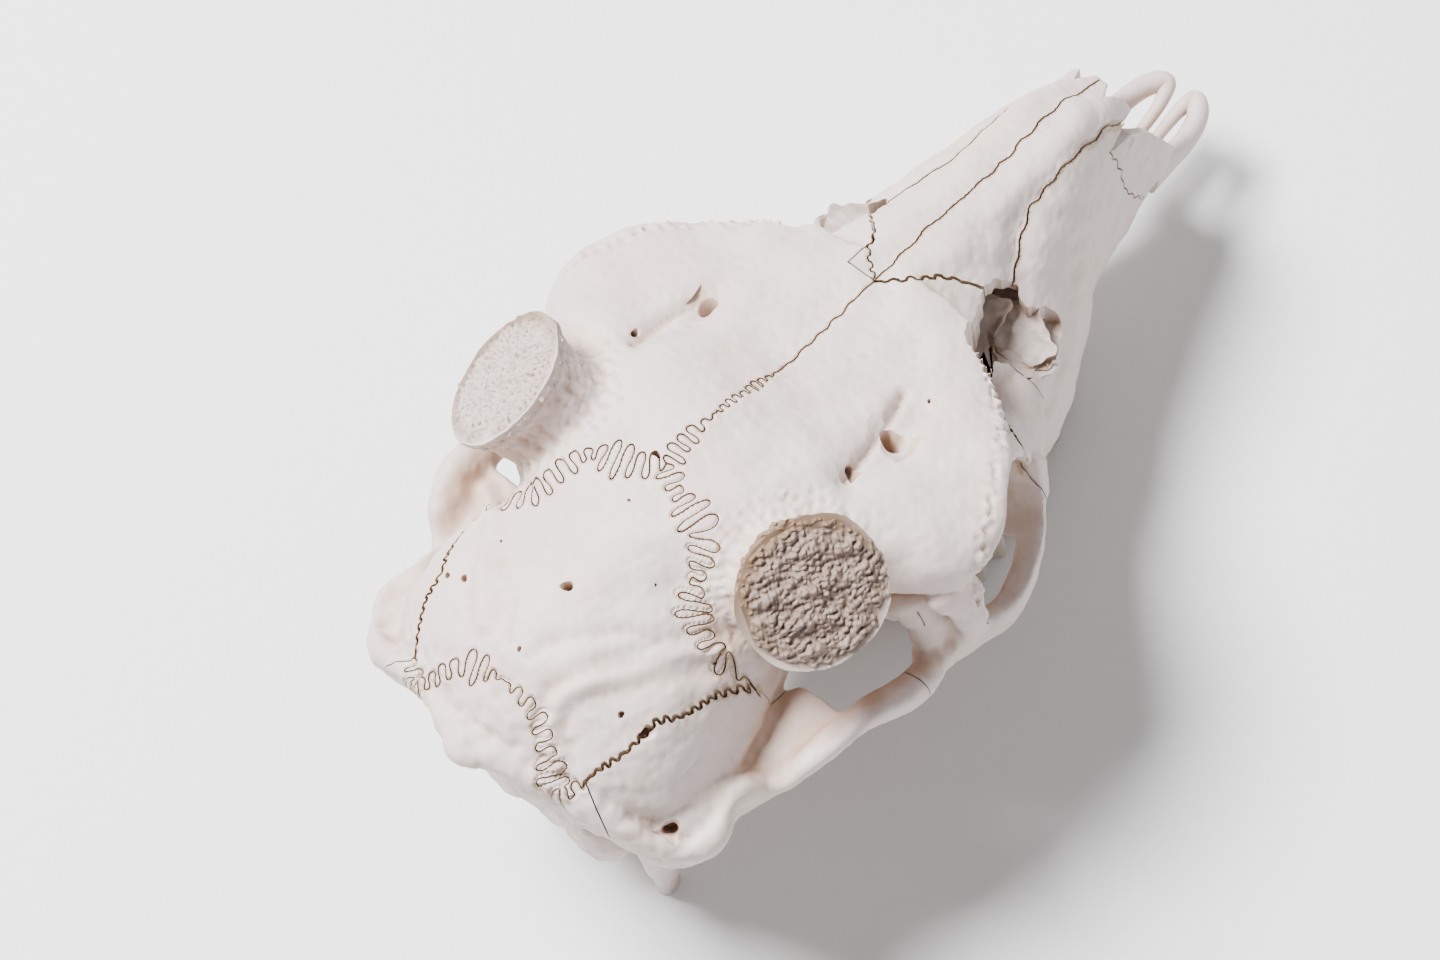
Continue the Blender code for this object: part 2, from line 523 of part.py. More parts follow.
def melted_core():
    """Build all rounded forms, hollow them, melt them and return the left half."""
    middle = [loft("braincase", BRAINCASE, power=2.0), loft("between_orbits", BETWEEN_ORBITS),
              loft("rostrum", ROSTRUM, power=2.6), loft("brow", BROW, power=2.1),
              loft("skull_base", SKULL_BASE), loft("palate", PALATE),
              lump("inion_knob", *INION_KNOB)]
    left = [loft("cheek", CHEEK, 24), loft("tooth_bed", TOOTH_BED, 24),
            loft("arch_root", ARCH_ROOT, 24), loft("mastoid", MASTOID, 24),
            strap("crest", CREST, 0.2), strap("arch", ARCH, ARCH_LEAN),
            strap("orbit_floor", ORBIT_FLOOR, 0.15), stem("orbit_bar", ORBIT_BAR),
            stem("bar_back", BAR_BACK), loft("temple_wall", TEMPLE_WALL, 24),
            stem("throat_spur", THROAT_SPUR), strap("wing", WING),
            lump("condyle", *CONDYLE), lump("ear_bulb", *EAR_BULB), lump("ear_tube", *EAR_TUBE),
            lump("jaw_socket_lip", *JAW_SOCKET_LIP), pedicle("pedicle", PEDICLE_RINGS)]
    core = melted(loose_joined("core", middle + left + [mirrored(solid) for solid in left]), 0)
    hollows = [loft("nose_hollow", NOSE_HOLLOW, power=2.6), lump("stem_hole", *BRAIN_STEM_HOLE),
               lump("throat_hollow", *THROAT_HOLLOW)]
    paired = [lump("orbit", *ORBIT_HOLLOW), lump("tear_pit", *TEAR_PIT),
              lump("jaw_socket", *JAW_SOCKET)]
    for hollow in hollows + paired + [mirrored(solid) for solid in paired]:
        combine(core, hollow, "DIFFERENCE")
    thinned(melted(core, 5), CORE_FACES)
    half = [(0, 0), (300, 0), (300, OUT), (0, OUT)]
    combine(core, prism("half", half, 0, ROOF), "INTERSECT")
    openings = [pedicle("pedicle_trim", PEDICLE_TRIM), lump("ear_hole", *EAR_HOLE, detail=2),
                lump("brow_hole", *BROW_HOLE, detail=2), strap("groove", BROW_GROOVE, sides=8),
                prism("window", SIDE_WINDOW, WINDOW_FLOOR, ROOF),
                prism("nose_mouth", NOSE_MOUTH, PAST, OUT, "Y")]
    for opening in openings:
        combine(core, opening, "DIFFERENCE")
    return core


def region(outlines, axis, grow=0.0):
    """Make the solid of one region from its outlines: outline, lower level, upper level."""
    return united([prism("region", outline, low, high, axis, grow) for outline, low, high in outlines])


def take(rest, *outlines, axis="Z"):
    """Cut one region out of what is left of the skull and leave the thin gap round it."""
    piece = bpy.data.objects.new("piece", rest.data.copy())
    cutters.objects.link(piece)
    combine(piece, region(outlines, axis), "INTERSECT")
    combine(rest, region(outlines, axis, GAP), "DIFFERENCE")
    return piece


def clear_of_middle(piece):
    """Trim a left bone half a gap short of the middle plane."""
    side = [(-5, GAP / 2), (300, GAP / 2), (300, OUT), (-5, OUT)]
    return combine(piece, prism("side", side, -5, ROOF), "INTERSECT")


def tooth_row():
    """Make the left cheek teeth as tapered lobes that stand on one level."""
    line = smooth_rows(TOOTH_ROW_LINE, 6)
    lobes = []
    front = TOOTH_ROW_FRONT
    for length, half, count in TEETH:
        pitch = length / count
        for number in range(count):
            x = front - pitch * (number + 0.5)
            y = float(np.interp(x, line[:, 0], line[:, 1]))
            deep = pitch / 2 + TOOTH_SPACE
            rows = [(x, y, TOOTH_ROOT_Z, half * 0.86, deep * 0.82), (x, y + 0.3, 7, half, deep),
                    (x, y + 0.5, 0, half * 0.76, deep * 0.76)]
            lobes.append(stem("lobe", rows, sides=8, steps=1))
        front -= length
    return lobes


def scroll_bone():
    """Make the left scrolls on the plate that carries them."""
    base = WINDOW_FLOOR + GAP
    parts = [prism("scroll_base", SCROLL_BASE, base, base + SCROLL_BASE_THICK)]
    parts += [strap("scroll", rows, sides=6, steps=2) for rows in SCROLLS]
    bone = united(parts)
    return combine(bone, prism("scroll_room", SIDE_WINDOW, base, ROOF, grow=-GAP), "INTERSECT")


def build_skull():
    """Part the core into its bones and finish each one."""
    rest = melted_core()
    tip = largest_body(take(rest, (TIP_AREA, PAST, OUT), axis="Y"))
    pairs = [("premaxilla", united([tip, strap("nose_bar", NOSE_BAR, sides=10, steps=2)]), 0.98),
             ("nasal", take(rest, (NASAL_AREA, under_crown, ROOF)), 1.0),
             ("frontal", take(rest, (FRONTAL_AREA, ARCH_TOP, ROOF),
                              (FRONTAL_LOW_AREA, FRONTAL_FLOOR, ARCH_TOP + 1)), 0.985)]
    parietal = take(rest, (PARIETAL_AREA, PARIETAL_FLOOR, ROOF))
    pairs.append(("lacrimal", take(rest, (LACRIMAL_AREA, LACRIMAL_FLOOR, ROOF)), 0.95))
    pairs.append(("temporal", take(rest, (TEMPORAL_UPPER, TEMPORAL_STEP, ROOF),
                                   (TEMPORAL_LOWER, -5, TEMPORAL_STEP + 1)), 0.96))
    pairs.append(("zygomatic", take(rest, (ZYGOMATIC_AREA, 36, ROOF)), 0.97))
    occipital = take(rest, (OCCIPITAL_AREA, -5, ROOF))
    maxilla = take(rest, (MAXILLA_AREA, -5, ROOF))
    pairs.append(("maxilla", united([largest_body(maxilla)] + tooth_row()), 0.975))
    pairs.append(("palatine", take(rest, (PALATINE_AREA, -5, PALATINE_TOP)), 0.95))
    pairs.append(("ethmoid", scroll_bone(), 0.9))
    for name, piece, tint in pairs:
        finish_pair(name, largest_body(clear_of_middle(piece)), tint)
    for name, piece, tint in (("parietal", parietal, 0.99), ("occipital", occipital, 0.965),
                              ("sphenoid", rest, 0.93)):
        finish_bone(name, closed_over_middle(largest_body(piece)), tint)


model, cutters = start_clean()
build_skull()
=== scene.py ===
"""A deer's skull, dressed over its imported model: dry bone, open sutures and spongy antler stumps.

The skull is one mass of bone first, hollowed and roughened all over, and winding cuts then part
it along the sutures. Lengths are millimetres in the skull's own frame, X from the back of the
head to the nose, Y to the animal's left, Z up from the tooth plane, until a mesh is placed.
"""

import math

import bmesh
import bpy
import numpy as np
from mathutils import Matrix, Vector
from mathutils.bvhtree import BVHTree


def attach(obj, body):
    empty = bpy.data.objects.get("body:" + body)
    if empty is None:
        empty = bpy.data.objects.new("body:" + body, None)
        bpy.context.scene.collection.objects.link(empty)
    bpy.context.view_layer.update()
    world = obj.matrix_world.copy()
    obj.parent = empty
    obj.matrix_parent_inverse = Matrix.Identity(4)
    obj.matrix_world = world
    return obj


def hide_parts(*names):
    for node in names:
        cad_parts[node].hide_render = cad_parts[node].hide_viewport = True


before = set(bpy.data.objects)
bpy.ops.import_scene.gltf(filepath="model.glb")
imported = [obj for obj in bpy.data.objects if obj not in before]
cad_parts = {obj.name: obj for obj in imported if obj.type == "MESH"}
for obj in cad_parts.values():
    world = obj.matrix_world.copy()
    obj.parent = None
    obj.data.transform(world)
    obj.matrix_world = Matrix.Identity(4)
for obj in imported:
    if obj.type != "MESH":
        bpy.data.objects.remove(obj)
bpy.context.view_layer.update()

# The camera stands where the photo's did, behind the head, to its right and high above it. It comes
# first, because the sutures and holes are placed by their pixels in the photo. Image: 1440 by 960.
MM = 0.001
MIDDLE_X = 144.1                       # the skull's own x of the row frame's origin
EYE = Vector((-121.1, -298.3, 889.3))
LOOK = Vector((0.254, 0.343, -0.904)).normalized()
IMAGE_RIGHT = Vector((0.622, -0.774, -0.119))
IMAGE_SIZE = (1440, 960)
FOCAL_PIXELS = 3860
SENSOR_WIDE = 36.0



def placed(name, data):
    """A new object in the scene that holds a mesh, a camera or a light."""
    thing = bpy.data.objects.new(name, data)
    bpy.context.scene.collection.objects.link(thing)
    return thing


camera = placed("camera", bpy.data.cameras.new("camera"))
bpy.context.scene.camera = camera
image_down = LOOK.cross(IMAGE_RIGHT).normalized()
IMAGE_RIGHT = image_down.cross(LOOK).normalized()
turn = Matrix((IMAGE_RIGHT, -image_down, -LOOK)).transposed().to_4x4()
camera.matrix_world = Matrix.Translation((EYE - Vector((MIDDLE_X, 0, 0))) * MM) @ turn
camera.data.sensor_width = SENSOR_WIDE
camera.data.lens = FOCAL_PIXELS / IMAGE_SIZE[0] * SENSOR_WIDE
camera.data.clip_start = 0.05


def sight(pixel):
    """The direction of the ray that leaves the lens through a pixel of the photo."""
    across = (pixel[0] - IMAGE_SIZE[0] / 2) / FOCAL_PIXELS
    down = (pixel[1] - IMAGE_SIZE[1] / 2) / FOCAL_PIXELS
    return (LOOK + IMAGE_RIGHT * across + image_down * down).normalized()


# The skull as one mass of bone: lofts for the braincase, nose and brow, straps for the cheek arches
# and crests, melted together, hollowed where the head is open, and eased as weathered bone is.
# Lofts: x, y, z, half width, height above, depth below, and how square the upper half is.
BRAINCASE = [(18, 0, 101, 15, 13.5, 12), (22, 0, 97, 28, 23.6, 24), (28, 0, 93, 36.5, 31.6, 33),
             (36, 0, 92, 41.5, 36.8, 38), (48, 0, 92, 42.5, 39.8, 40), (62, 0, 92, 40, 41.7, 40),
             (76, 0, 92, 36, 42.6, 38), (90, 0, 92, 32, 42.8, 35), (104, 0, 92, 27, 38, 34)]
BETWEEN_ORBITS = [(96, 0, 88, 29, 42, 36), (108, 0, 84, 24, 42, 38), (120, 0, 80, 21, 38, 38),
                  (132, 0, 76, 21, 37, 36), (144, 0, 74, 26, 36, 38), (154, 0, 70, 31, 38, 40),
                  (164, 0, 66, 34, 40, 42)]
ROSTRUM = [(148, 0, 62, 33, 49.3, 40, 2.2), (160, 0, 60, 37, 49.4, 42, 1.9),
           (172, 0, 58, 38, 47.6, 42, 1.65), (184, 0, 57, 34.5, 45.2, 42, 1.55),
           (194, 0, 56, 29.5, 43.8, 41, 1.7), (204, 0, 54, 23.8, 43.2, 38, 2.1),
           (214, 0, 52, 19.5, 42.2, 34, 2.7), (226, 0, 50, 16.3, 39.8, 30, 3),
           (236, 0, 49, 14.4, 34.9, 25, 2.7), (243, 0, 49, 13.3, 31.1, 22, 2.5),
           (250, 0, 46, 12.6, 30, 19.5, 2.4), (256, 0, 42, 12, 30, 15, 2.4)]
BROW = [(66, 0, 106, 28, 27.4, 10), (74, 0, 106, 38, 28.6, 9), (84, 0, 106, 44, 28.8, 8),
        (96, 0, 106, 46, 27.4, 7), (103, 0, 105.5, 51, 26, 6), (110, 0, 104, 59.5, 24.1, 5),
        (118, 0, 105, 61.8, 18.1, 5.5), (128, 0, 109, 59.5, 8.6, 7.5), (138, 0, 109, 53.5, 4.9, 7.5),
        (147, 0, 106.5, 45.5, 5.2, 8), (156, 0, 103, 36, 7.4, 8), (164, 0, 99, 32, 9, 10)]
SKULL_BASE = [(25, 0, 48, 12, 8, 8), (40, 0, 47, 13, 9, 8), (58, 0, 47, 11, 10, 7),
              (78, 0, 48, 9, 12, 7), (98, 0, 50, 8, 14, 7)]
CHEEK = [(139, 47, 82, 5.5, 20, 20), (147, 42, 81, 8, 20, 28), (156, 36, 72.5, 8.5, 15.5, 30),
         (167, 30.5, 67.5, 8.2, 14, 29), (178, 24.3, 63.5, 7.2, 12.5, 26)]
TOOTH_BED = [(118, 23.5, 26, 4.5, 9, 9), (126, 24, 26, 7.5, 14, 16), (140, 25.2, 29, 8.5, 20, 21),
             (156, 25.2, 32, 8.8, 26, 24), (174, 22.8, 32, 8, 26, 24), (190, 18.8, 30, 6.6, 20, 22),
             (204, 15, 30, 5, 14, 17), (214, 12.5, 32, 3.5, 8, 8)]
PALATE = [(112, 0, 36, 12, 12, 8), (124, 0, 32, 16, 16, 12), (140, 0, 32, 19, 22, 15),
          (160, 0, 34, 20, 24, 17)]
TEMPLE_WALL = [(28, 37, 88, 6, 8, 12), (36, 40, 88, 7, 9, 14), (44, 39, 88, 7, 9, 14),
               (52, 40, 82, 7, 6, 10), (58, 42, 80, 6, 4, 7)]
ARCH_ROOT = [(36, 38, 79, 8, 6, 9), (46, 37.5, 80, 7.8, 6, 9), (57, 41.5, 82, 10, 5, 7),
             (68, 45, 84.5, 10, 3.2, 4.5), (76, 48, 85, 8, 2.5, 3.5)]
MASTOID = [(28, 32, 74, 7, 20, 12), (36, 32, 70, 8, 22, 18), (44, 31, 67, 7, 20, 14)]
CREST = [(17, 0, 113.5, 3.4, 3.6), (18, 8, 112.5, 3.2, 4), (20, 16, 110, 3, 4.5),
         (22, 28.5, 103, 3.3, 5.2), (24.5, 39, 94, 3.2, 5.8), (29, 45, 88.5, 3.2, 5.8),
         (36, 47.8, 90.3, 3.2, 5.2), (43, 45.8, 91, 3, 4.8), (49, 46, 87, 3, 4.2), (55, 47.5, 81, 3, 3.6)]
ARCH = [(117, 56.5, 65, 3.2, 7), (104, 57.2, 72, 3.6, 6.2), (94, 58.6, 78.5, 3.8, 6),
        (85, 57.9, 84, 3.6, 6.2), (76, 55.8, 87.5, 3.2, 5.9), (66, 54.4, 88.6, 3.4, 5.9),
        (60, 51.4, 86, 3.2, 5.6), (54, 47.3, 82.2, 3, 4), (45, 43.5, 81, 3, 4.4)]
ORBIT_FLOOR = [(156, 41, 66, 4, 18), (149, 48, 61.5, 3.8, 14), (140, 54, 58, 3.4, 10),
               (129, 57.2, 57, 3.2, 8.6), (119, 57.4, 60.5, 3.2, 8.2), (110, 56.8, 67, 3.2, 7)]
ORBIT_BAR = [(110, 56.5, 102, 3, 6.5), (112, 60, 93, 3, 6), (113, 60.5, 83, 3, 6),
             (113.5, 58.5, 71, 3.4, 8)]
BAR_BACK = [(103.5, 50, 101, 3.4, 6), (105, 53, 92, 3.4, 6.5), (105.5, 54.5, 83, 3.6, 7),
            (106, 54.5, 73, 4, 8)]
THROAT_SPUR = [(38, 28, 60, 5, 10), (38, 25.5, 44, 4, 9.5), (37.5, 22.5, 27, 3.3, 7.5),
               (37.5, 20, 12, 2.9, 5.2), (38, 18.6, -1.5, 2.5, 3.6)]
WING = [(88, 12, 48, 1.6, 8), (100, 11.5, 42, 1.5, 12), (112, 12, 34, 1.5, 13),
        (122, 13, 30, 1.8, 14)]
CONDYLE = ((31, 12.5, 52), (8.5, 9.5, 12))
EAR_BULB = ((55, 20, 45), (13, 8, 11))
EAR_TUBE = ((44.5, 30, 63), (6, 9.5, 6))
JAW_SOCKET_LIP = ((51, 35, 68), (4, 8, 8))
INION_KNOB = ((15.5, 1.5, 113.5), (4, 5, 3.4))
PEDICLE_RINGS = [(33, 17), (24, 15.6), (14, 14.6), (7, 14.9), (2.5, 16.4), (0, 17.2), (-3, 17.4)]
PEDICLE_TRIM = [(0, 26), (-16, 26)]
NOSE_HOLLOW = [(292, 0, 50, 9, 30, 21), (262, 0, 50, 9, 30, 21), (250, 0, 50, 10, 27, 21.5),
               (243, 0, 52, 10.4, 25.4, 22.5, 2.4), (234, 0, 52, 12, 30, 24, 2.4),
               (224, 0, 52, 13.6, 35, 26.5, 2.6), (212, 0, 53, 17, 38, 30, 2.3),
               (200, 0, 54, 21.4, 40, 33, 1.9), (188, 0, 56, 27.4, 41.2, 35, 1.6),
               (176, 0, 58, 31, 42, 34, 1.6), (166, 0, 62, 28, 38, 32, 1.7), (156, 0, 68, 18, 24, 22, 2)]
ORBIT_HOLLOW = ((131.5, 50, 82), (18.5, 27, 20.5))
TEAR_PIT = ((164, 40.5, 94), (9, 7.5, 11))
BRAIN_STEM_HOLE = ((26, 0, 68), (26, 10.5, 9.5))
THROAT_HOLLOW = ((108, 0, 33), (20, 9.3, 10))
JAW_SOCKET = ((62, 44, 73), (8, 8, 4.5))
PEDICLE_FACE = Vector((83.0, 43.7, 131.8))
PEDICLE_AXIS = Vector((-0.21, 0.62, 0.756)).normalized()
ARCH_LEAN = (0.3, 1.0)                 # the blade of the arch lies flatter toward the ear


def smooth_rows(rows, steps):
    """Rows of numbers read along a Catmull-Rom curve through all of them, steps to each span."""
    rows = np.array(rows, float)
    ends = np.vstack([2 * rows[0] - rows[1], rows, 2 * rows[-1] - rows[-2]])
    part = np.arange(steps)[:, None] / steps
    spans = []
    for a, b, c, d in zip(ends[:-3], ends[1:-2], ends[2:-1], ends[3:]):
        spans.append(0.5 * (2 * b + (c - a) * part + (2 * a - 5 * b + 4 * c - d) * part ** 2
                            + (3 * b - a - 3 * c + d) * part ** 3))
    return np.vstack(spans + [rows[-1:]])


def skin(name, grid):
    """A closed solid from a grid of points: rings one after another, with flat ends."""
    count, sides = grid.shape[:2]
    ring = np.arange(sides)
    after = (ring + 1) % sides
    starts = np.arange(count - 1)[:, None] * sides
    quads = np.stack([starts + ring, starts + after, starts + sides + after, starts + sides + ring], 2)
    faces = quads.reshape(-1, 4).tolist() + [ring.tolist(), (ring + (count - 1) * sides).tolist()]
    mesh = bpy.data.meshes.new(name)
    mesh.from_pydata(((grid.reshape(-1, 3) - (MIDDLE_X, 0, 0)) * MM).tolist(), [], faces)
    shape = bmesh.new()
    shape.from_mesh(mesh)
    bmesh.ops.triangulate(shape, faces=shape.faces[:])
    bmesh.ops.recalc_face_normals(shape, faces=shape.faces[:])
    shape.to_mesh(mesh)
    shape.free()
    return placed(name, mesh)


def signed_power(value, power):
    """The value's size raised to a power, with its sign kept."""
    return np.sign(value) * np.abs(value) ** power


def loft(name, rows, power=2.3, sides=72, steps=6):
    """Superellipses that stand across X: y = half * cos^(2/p), z = height or depth * sin^(2/p)."""
    turn = np.linspace(0, 2 * math.pi, sides, endpoint=False)
    rows = smooth_rows([tuple(row) if len(row) == 7 else tuple(row) + (power,) for row in rows], steps)
    x, y, z, half, up, down, square = rows.T[:, :, None]
    bend = 2 / np.where(np.sin(turn) > 0, square, power)
    rise = signed_power(np.sin(turn), bend) * np.where(np.sin(turn) > 0, up, down)
    return skin(name, np.stack([x + 0 * turn, y + half * signed_power(np.cos(turn), bend), z + rise], 2))


def strap(name, rows, lean=0.0, sides=24, steps=6):
    """An ellipse carried along a smooth path: x, y, z, half thickness, half height.

    Its tall side stands on Z, leaned outward along Y by lean, one number or the first and last.
    """
    rows = smooth_rows(rows, steps)
    along = np.gradient(rows[:, :3], axis=0)
    along /= np.linalg.norm(along, axis=1)[:, None]
    lean = np.linspace(*(lean if isinstance(lean, tuple) else (lean, lean)), len(rows))
    side = np.cross(along, np.column_stack([0 * lean, lean, 0 * lean + 1]))
    steep = np.linalg.norm(side, axis=1) < 0.35
    side[steep] = (0, 1, 0)
    side /= np.linalg.norm(side, axis=1)[:, None]
    rise = np.cross(side, along)
    turn = np.linspace(0, 2 * math.pi, sides, endpoint=False)[None, :, None]
    thick, tall = rows[:, 3, None, None], rows[:, 4, None, None]
    return skin(name, rows[:, None, :3] + thick * np.cos(turn) * side[:, None]
                + tall * np.sin(turn) * rise[:, None])


def stem(name, rows, sides=40, steps=6):
    """An ellipse carried down a mostly upright path: x, y, z, half width on Y, half depth on X."""
    x, y, z, wide, deep = smooth_rows(rows, steps).T[:, :, None]
    turn = np.linspace(0, 2 * math.pi, sides, endpoint=False)
    return skin(name, np.stack([x + deep * np.cos(turn), y + wide * np.sin(turn), z + 0 * turn], 2))


def lump(name, centre, radii, sides=40, steps=24):
    """An ellipsoid with its poles on Z, a hair short of them so that its ends are small flats."""
    rise = np.linspace(-0.999, 0.999, steps)
    rise = np.sin(rise * math.pi / 2)
    x, y, z = centre
    rows = [(x, y, z + radii[2] * r, radii[1] * math.sqrt(1 - r * r), radii[0] * math.sqrt(1 - r * r))
            for r in rise]
    return stem(name, rows, sides, 1)


def stump(name, rows):
    """Rings down the pedicle's own axis: depth below the face, radius."""
    side = PEDICLE_AXIS.cross(Vector((0, 0, 1))).normalized()
    other = PEDICLE_AXIS.cross(side)
    depth, radius = smooth_rows(rows, 4).T[:, :, None]
    turn = np.linspace(0, 2 * math.pi, 72, endpoint=False)
    arm = np.cos(turn)[:, None] * np.array(side) + np.sin(turn)[:, None] * np.array(other)
    grid = np.array(PEDICLE_FACE) - depth[:, :, None] * np.array(PEDICLE_AXIS) + radius[:, :, None] * arm
    return skin(name, grid)


def mirrored(solid):
    """A copy of a solid on the other side of the head."""
    mesh = solid.data.copy()
    mesh.transform(Matrix.Diagonal((1, -1, 1, 1)))
    mesh.flip_normals()
    return placed(solid.name + "_right", mesh)


def applied(solid):
    """The solid, with its modifiers turned into its mesh."""
    depsgraph = bpy.context.evaluated_depsgraph_get()
    mesh = bpy.data.meshes.new_from_object(solid.evaluated_get(depsgraph))
    solid.modifiers.clear()
    old = solid.data
    solid.data = mesh
    bpy.data.meshes.remove(old)
    return solid


def combine(solid, other, operation):
    """Join, cut or intersect a solid with another, which is then removed."""
    tool = solid.modifiers.new(operation, "BOOLEAN")
    tool.operation = operation
    tool.solver = "MANIFOLD"
    tool.object = other
    applied(solid)
    bpy.data.objects.remove(other, do_unlink=True)
    return solid


def melted(solid, grain, rounds):
    """The solid as one skin of even grain, its creases eased by that many rounds of smoothing."""
    skin_tool = solid.modifiers.new("grain", "REMESH")
    skin_tool.mode = "VOXEL"
    skin_tool.voxel_size = grain * MM
    if rounds:
        ease = solid.modifiers.new("ease", "SMOOTH")
        ease.factor = 0.5
        ease.iterations = rounds
    return applied(solid)


GRAIN = 0.8                            # grain of the melted bone
middle = [loft("braincase", BRAINCASE, 2.0), loft("between_orbits", BETWEEN_ORBITS),
          loft("rostrum", ROSTRUM, 2.6), loft("brow", BROW, 2.1), loft("skull_base", SKULL_BASE),
          loft("palate", PALATE), lump("inion_knob", *INION_KNOB)]
left = [loft("cheek", CHEEK), loft("tooth_bed", TOOTH_BED), loft("arch_root", ARCH_ROOT),
        loft("mastoid", MASTOID), loft("temple_wall", TEMPLE_WALL), strap("crest", CREST, 0.2),
        strap("arch", ARCH, ARCH_LEAN), strap("orbit_floor", ORBIT_FLOOR, 0.15),
        stem("orbit_bar", ORBIT_BAR), stem("bar_back", BAR_BACK), stem("throat_spur", THROAT_SPUR),
        strap("wing", WING), lump("condyle", *CONDYLE), lump("ear_bulb", *EAR_BULB),
        lump("ear_tube", *EAR_TUBE), lump("jaw_socket_lip", *JAW_SOCKET_LIP),
        stump("pedicle", PEDICLE_RINGS)]
forms = middle + left + [mirrored(solid) for solid in left]
skull = forms[0]
with bpy.context.temp_override(active_object=skull, selected_editable_objects=forms):
    bpy.ops.object.join()
melted(skull, GRAIN, 0)
hollows = [loft("nose_hollow", NOSE_HOLLOW, 2.6), lump("stem_hole", *BRAIN_STEM_HOLE),
           lump("throat_hollow", *THROAT_HOLLOW)]
paired = [lump("orbit", *ORBIT_HOLLOW), lump("tear_pit", *TEAR_PIT), lump("jaw_socket", *JAW_SOCKET)]
for hollow in hollows + paired + [mirrored(solid) for solid in paired]:
    combine(skull, hollow, "DIFFERENCE")
melted(skull, GRAIN, 8)


# The sutures, as plan lines seen from above. Those of the roof wind in long fingers that lock a live
# skull together, those of the nose are plain cracks that drying has opened.
OUT = 90.0                             # any length that is sure to reach past the skull's side
ROOF = 170.0
CORONAL = [(87.3, 0), (84, 4.5), (81.5, 11), (79.5, 16.5), (73, 19.5), (66, 23), (62.5, 31), (65, 37)]
SQUAMOSAL = [(66, 38), (59, 35.5), (47.6, 33.5), (42, 30.5), (34, 29), (27.5, 26), (24, 24.7)]
LAMBDOID = [(24, 24.7), (19, 21.5), (22.6, 15.8), (27.5, 10), (29.3, 0)]
NASOFRONTAL = [(157.5, 0), (163, 6.4), (169.2, 9.8), (176, 17.5)]
NASOMAXILLARY = [(184, 18.6), (190, 15.4), (199.5, 11.8), (204, 11.4), (218.7, 10.6), (230, 9.9),
                 (243, 9.9)]
BROW_FRONT = [(159.2, 25), (156, 33), (152, 40), (149.5, 46)]
TIP_SEAM = [(228.5, 77.5), (230, 69), (230.3, 60), (233.8, 50), (238.9, 40), (240.5, 30), (241.5, 8)]


def even_line(line, step=0.15):
    """A smooth curve through the points of a line, read at even steps along its length."""
    path = smooth_rows(line, 12)
    gone = np.concatenate([[0], np.cumsum(np.linalg.norm(np.diff(path, axis=0), axis=1))])
    places = np.linspace(0, gone[-1], max(2, int(gone[-1] / step)))
    return np.column_stack([np.interp(places, gone, path[:, k]) for k in (0, 1)]), places


def slow_wave(places, length, rng):
    """A smooth random number along a line, from minus one to one: three waves of near lengths."""
    total = 0
    for stretch in (1.0, 1.6, 2.7):
        total = total + np.sin(2 * math.pi * places / (length * stretch) + rng.uniform(0, 6.28))
    return total / 3


def winding(line, reach, pitch, curl, seed):
    """A suture in loops along a line.

    With a the phase, which gains a turn every pitch, a point goes reach * sin(a) across the line
    and curl * pitch * sin(2a) back along it, so that a loop is wider at its end than at its neck.
    """
    rng = np.random.default_rng(seed)
    path, places = even_line(line)
    ahead = np.gradient(path, axis=0)
    ahead /= np.linalg.norm(ahead, axis=1)[:, None]
    across = np.column_stack([-ahead[:, 1], ahead[:, 0]])
    rate = 1 + 0.25 * slow_wave(places, 4 * pitch, rng)
    phase = np.cumsum(rate * np.gradient(places)) * 2 * math.pi / pitch
    near_end = np.clip(np.minimum(places / 0.7, (places[-1] - places) / 2.4) / pitch, 0, 1)
    size = reach * near_end * (0.72 + 0.5 * slow_wave(places, 3.3 * pitch, rng))
    sway = size * np.sin(phase) + 0.12 * near_end * slow_wave(places, 0.8, rng)
    back = curl * pitch * near_end * np.sin(2 * phase)
    return path + sway[:, None] * across - back[:, None] * ahead


def on_side(line, side):
    """A plan line on the left side, or with side -1 its mirror image on the right."""
    return [(x, y * side) for x, y in line]


def listed(line):
    """A curve's array as a list of points, so that lists can be joined to it."""
    return [tuple(p) for p in line]


internasal = listed(winding([(157.5, 0), (178, 0.3), (200, -0.3), (222, 0.2), (250, 0)], 0.4, 9, 0.0, 3))
interfrontal = listed(winding([(87.3, 0), (95, 0.2), (104, -0.1)], 3.8, 3.0, 0.14, 5)[:-1])
interfrontal += listed(winding([(104, -0.1), (112, 0.2), (124, 0)], 1.3, 2.0, 0.1, 6)[:-1])
interfrontal += listed(winding([(124, 0), (140, 0.2), (157.5, 0)], 0.4, 6, 0.0, 7))
tip_seam = winding(TIP_SEAM, 0.5, 5, 0.0, 8)
seams = {}
for side in (1, -1):
    seams[side] = {
        "coronal": listed(winding(on_side(CORONAL, side), 4.4, 3.2, 0.13, 20 + side)),
        "squamosal": listed(winding(on_side(SQUAMOSAL, side), 0.5, 2.3, 0.05, 30 + side)),
        "lambdoid": listed(winding(on_side(LAMBDOID, side), 3.2, 3.0, 0.14, 40 + side)),
        "nasofrontal": listed(winding(on_side(NASOFRONTAL, side), 0.5, 3.4, 0.05, 50 + side)),
        "nasomaxillary": listed(winding(on_side(NASOMAXILLARY, side), 0.35, 8, 0.0, 60 + side)),
        "brow": listed(winding(on_side(BROW_FRONT, side), 0.6, 1.9, 0.1, 70 + side))}


# The surface of old bone: soft swellings, the ridges where the chewing muscle began, furrows, ragged
# rims of the eye sockets, and shallow gutters along the sutures, all pressed into the one mass.
CELL = 0.1                             # cell of the plan maps


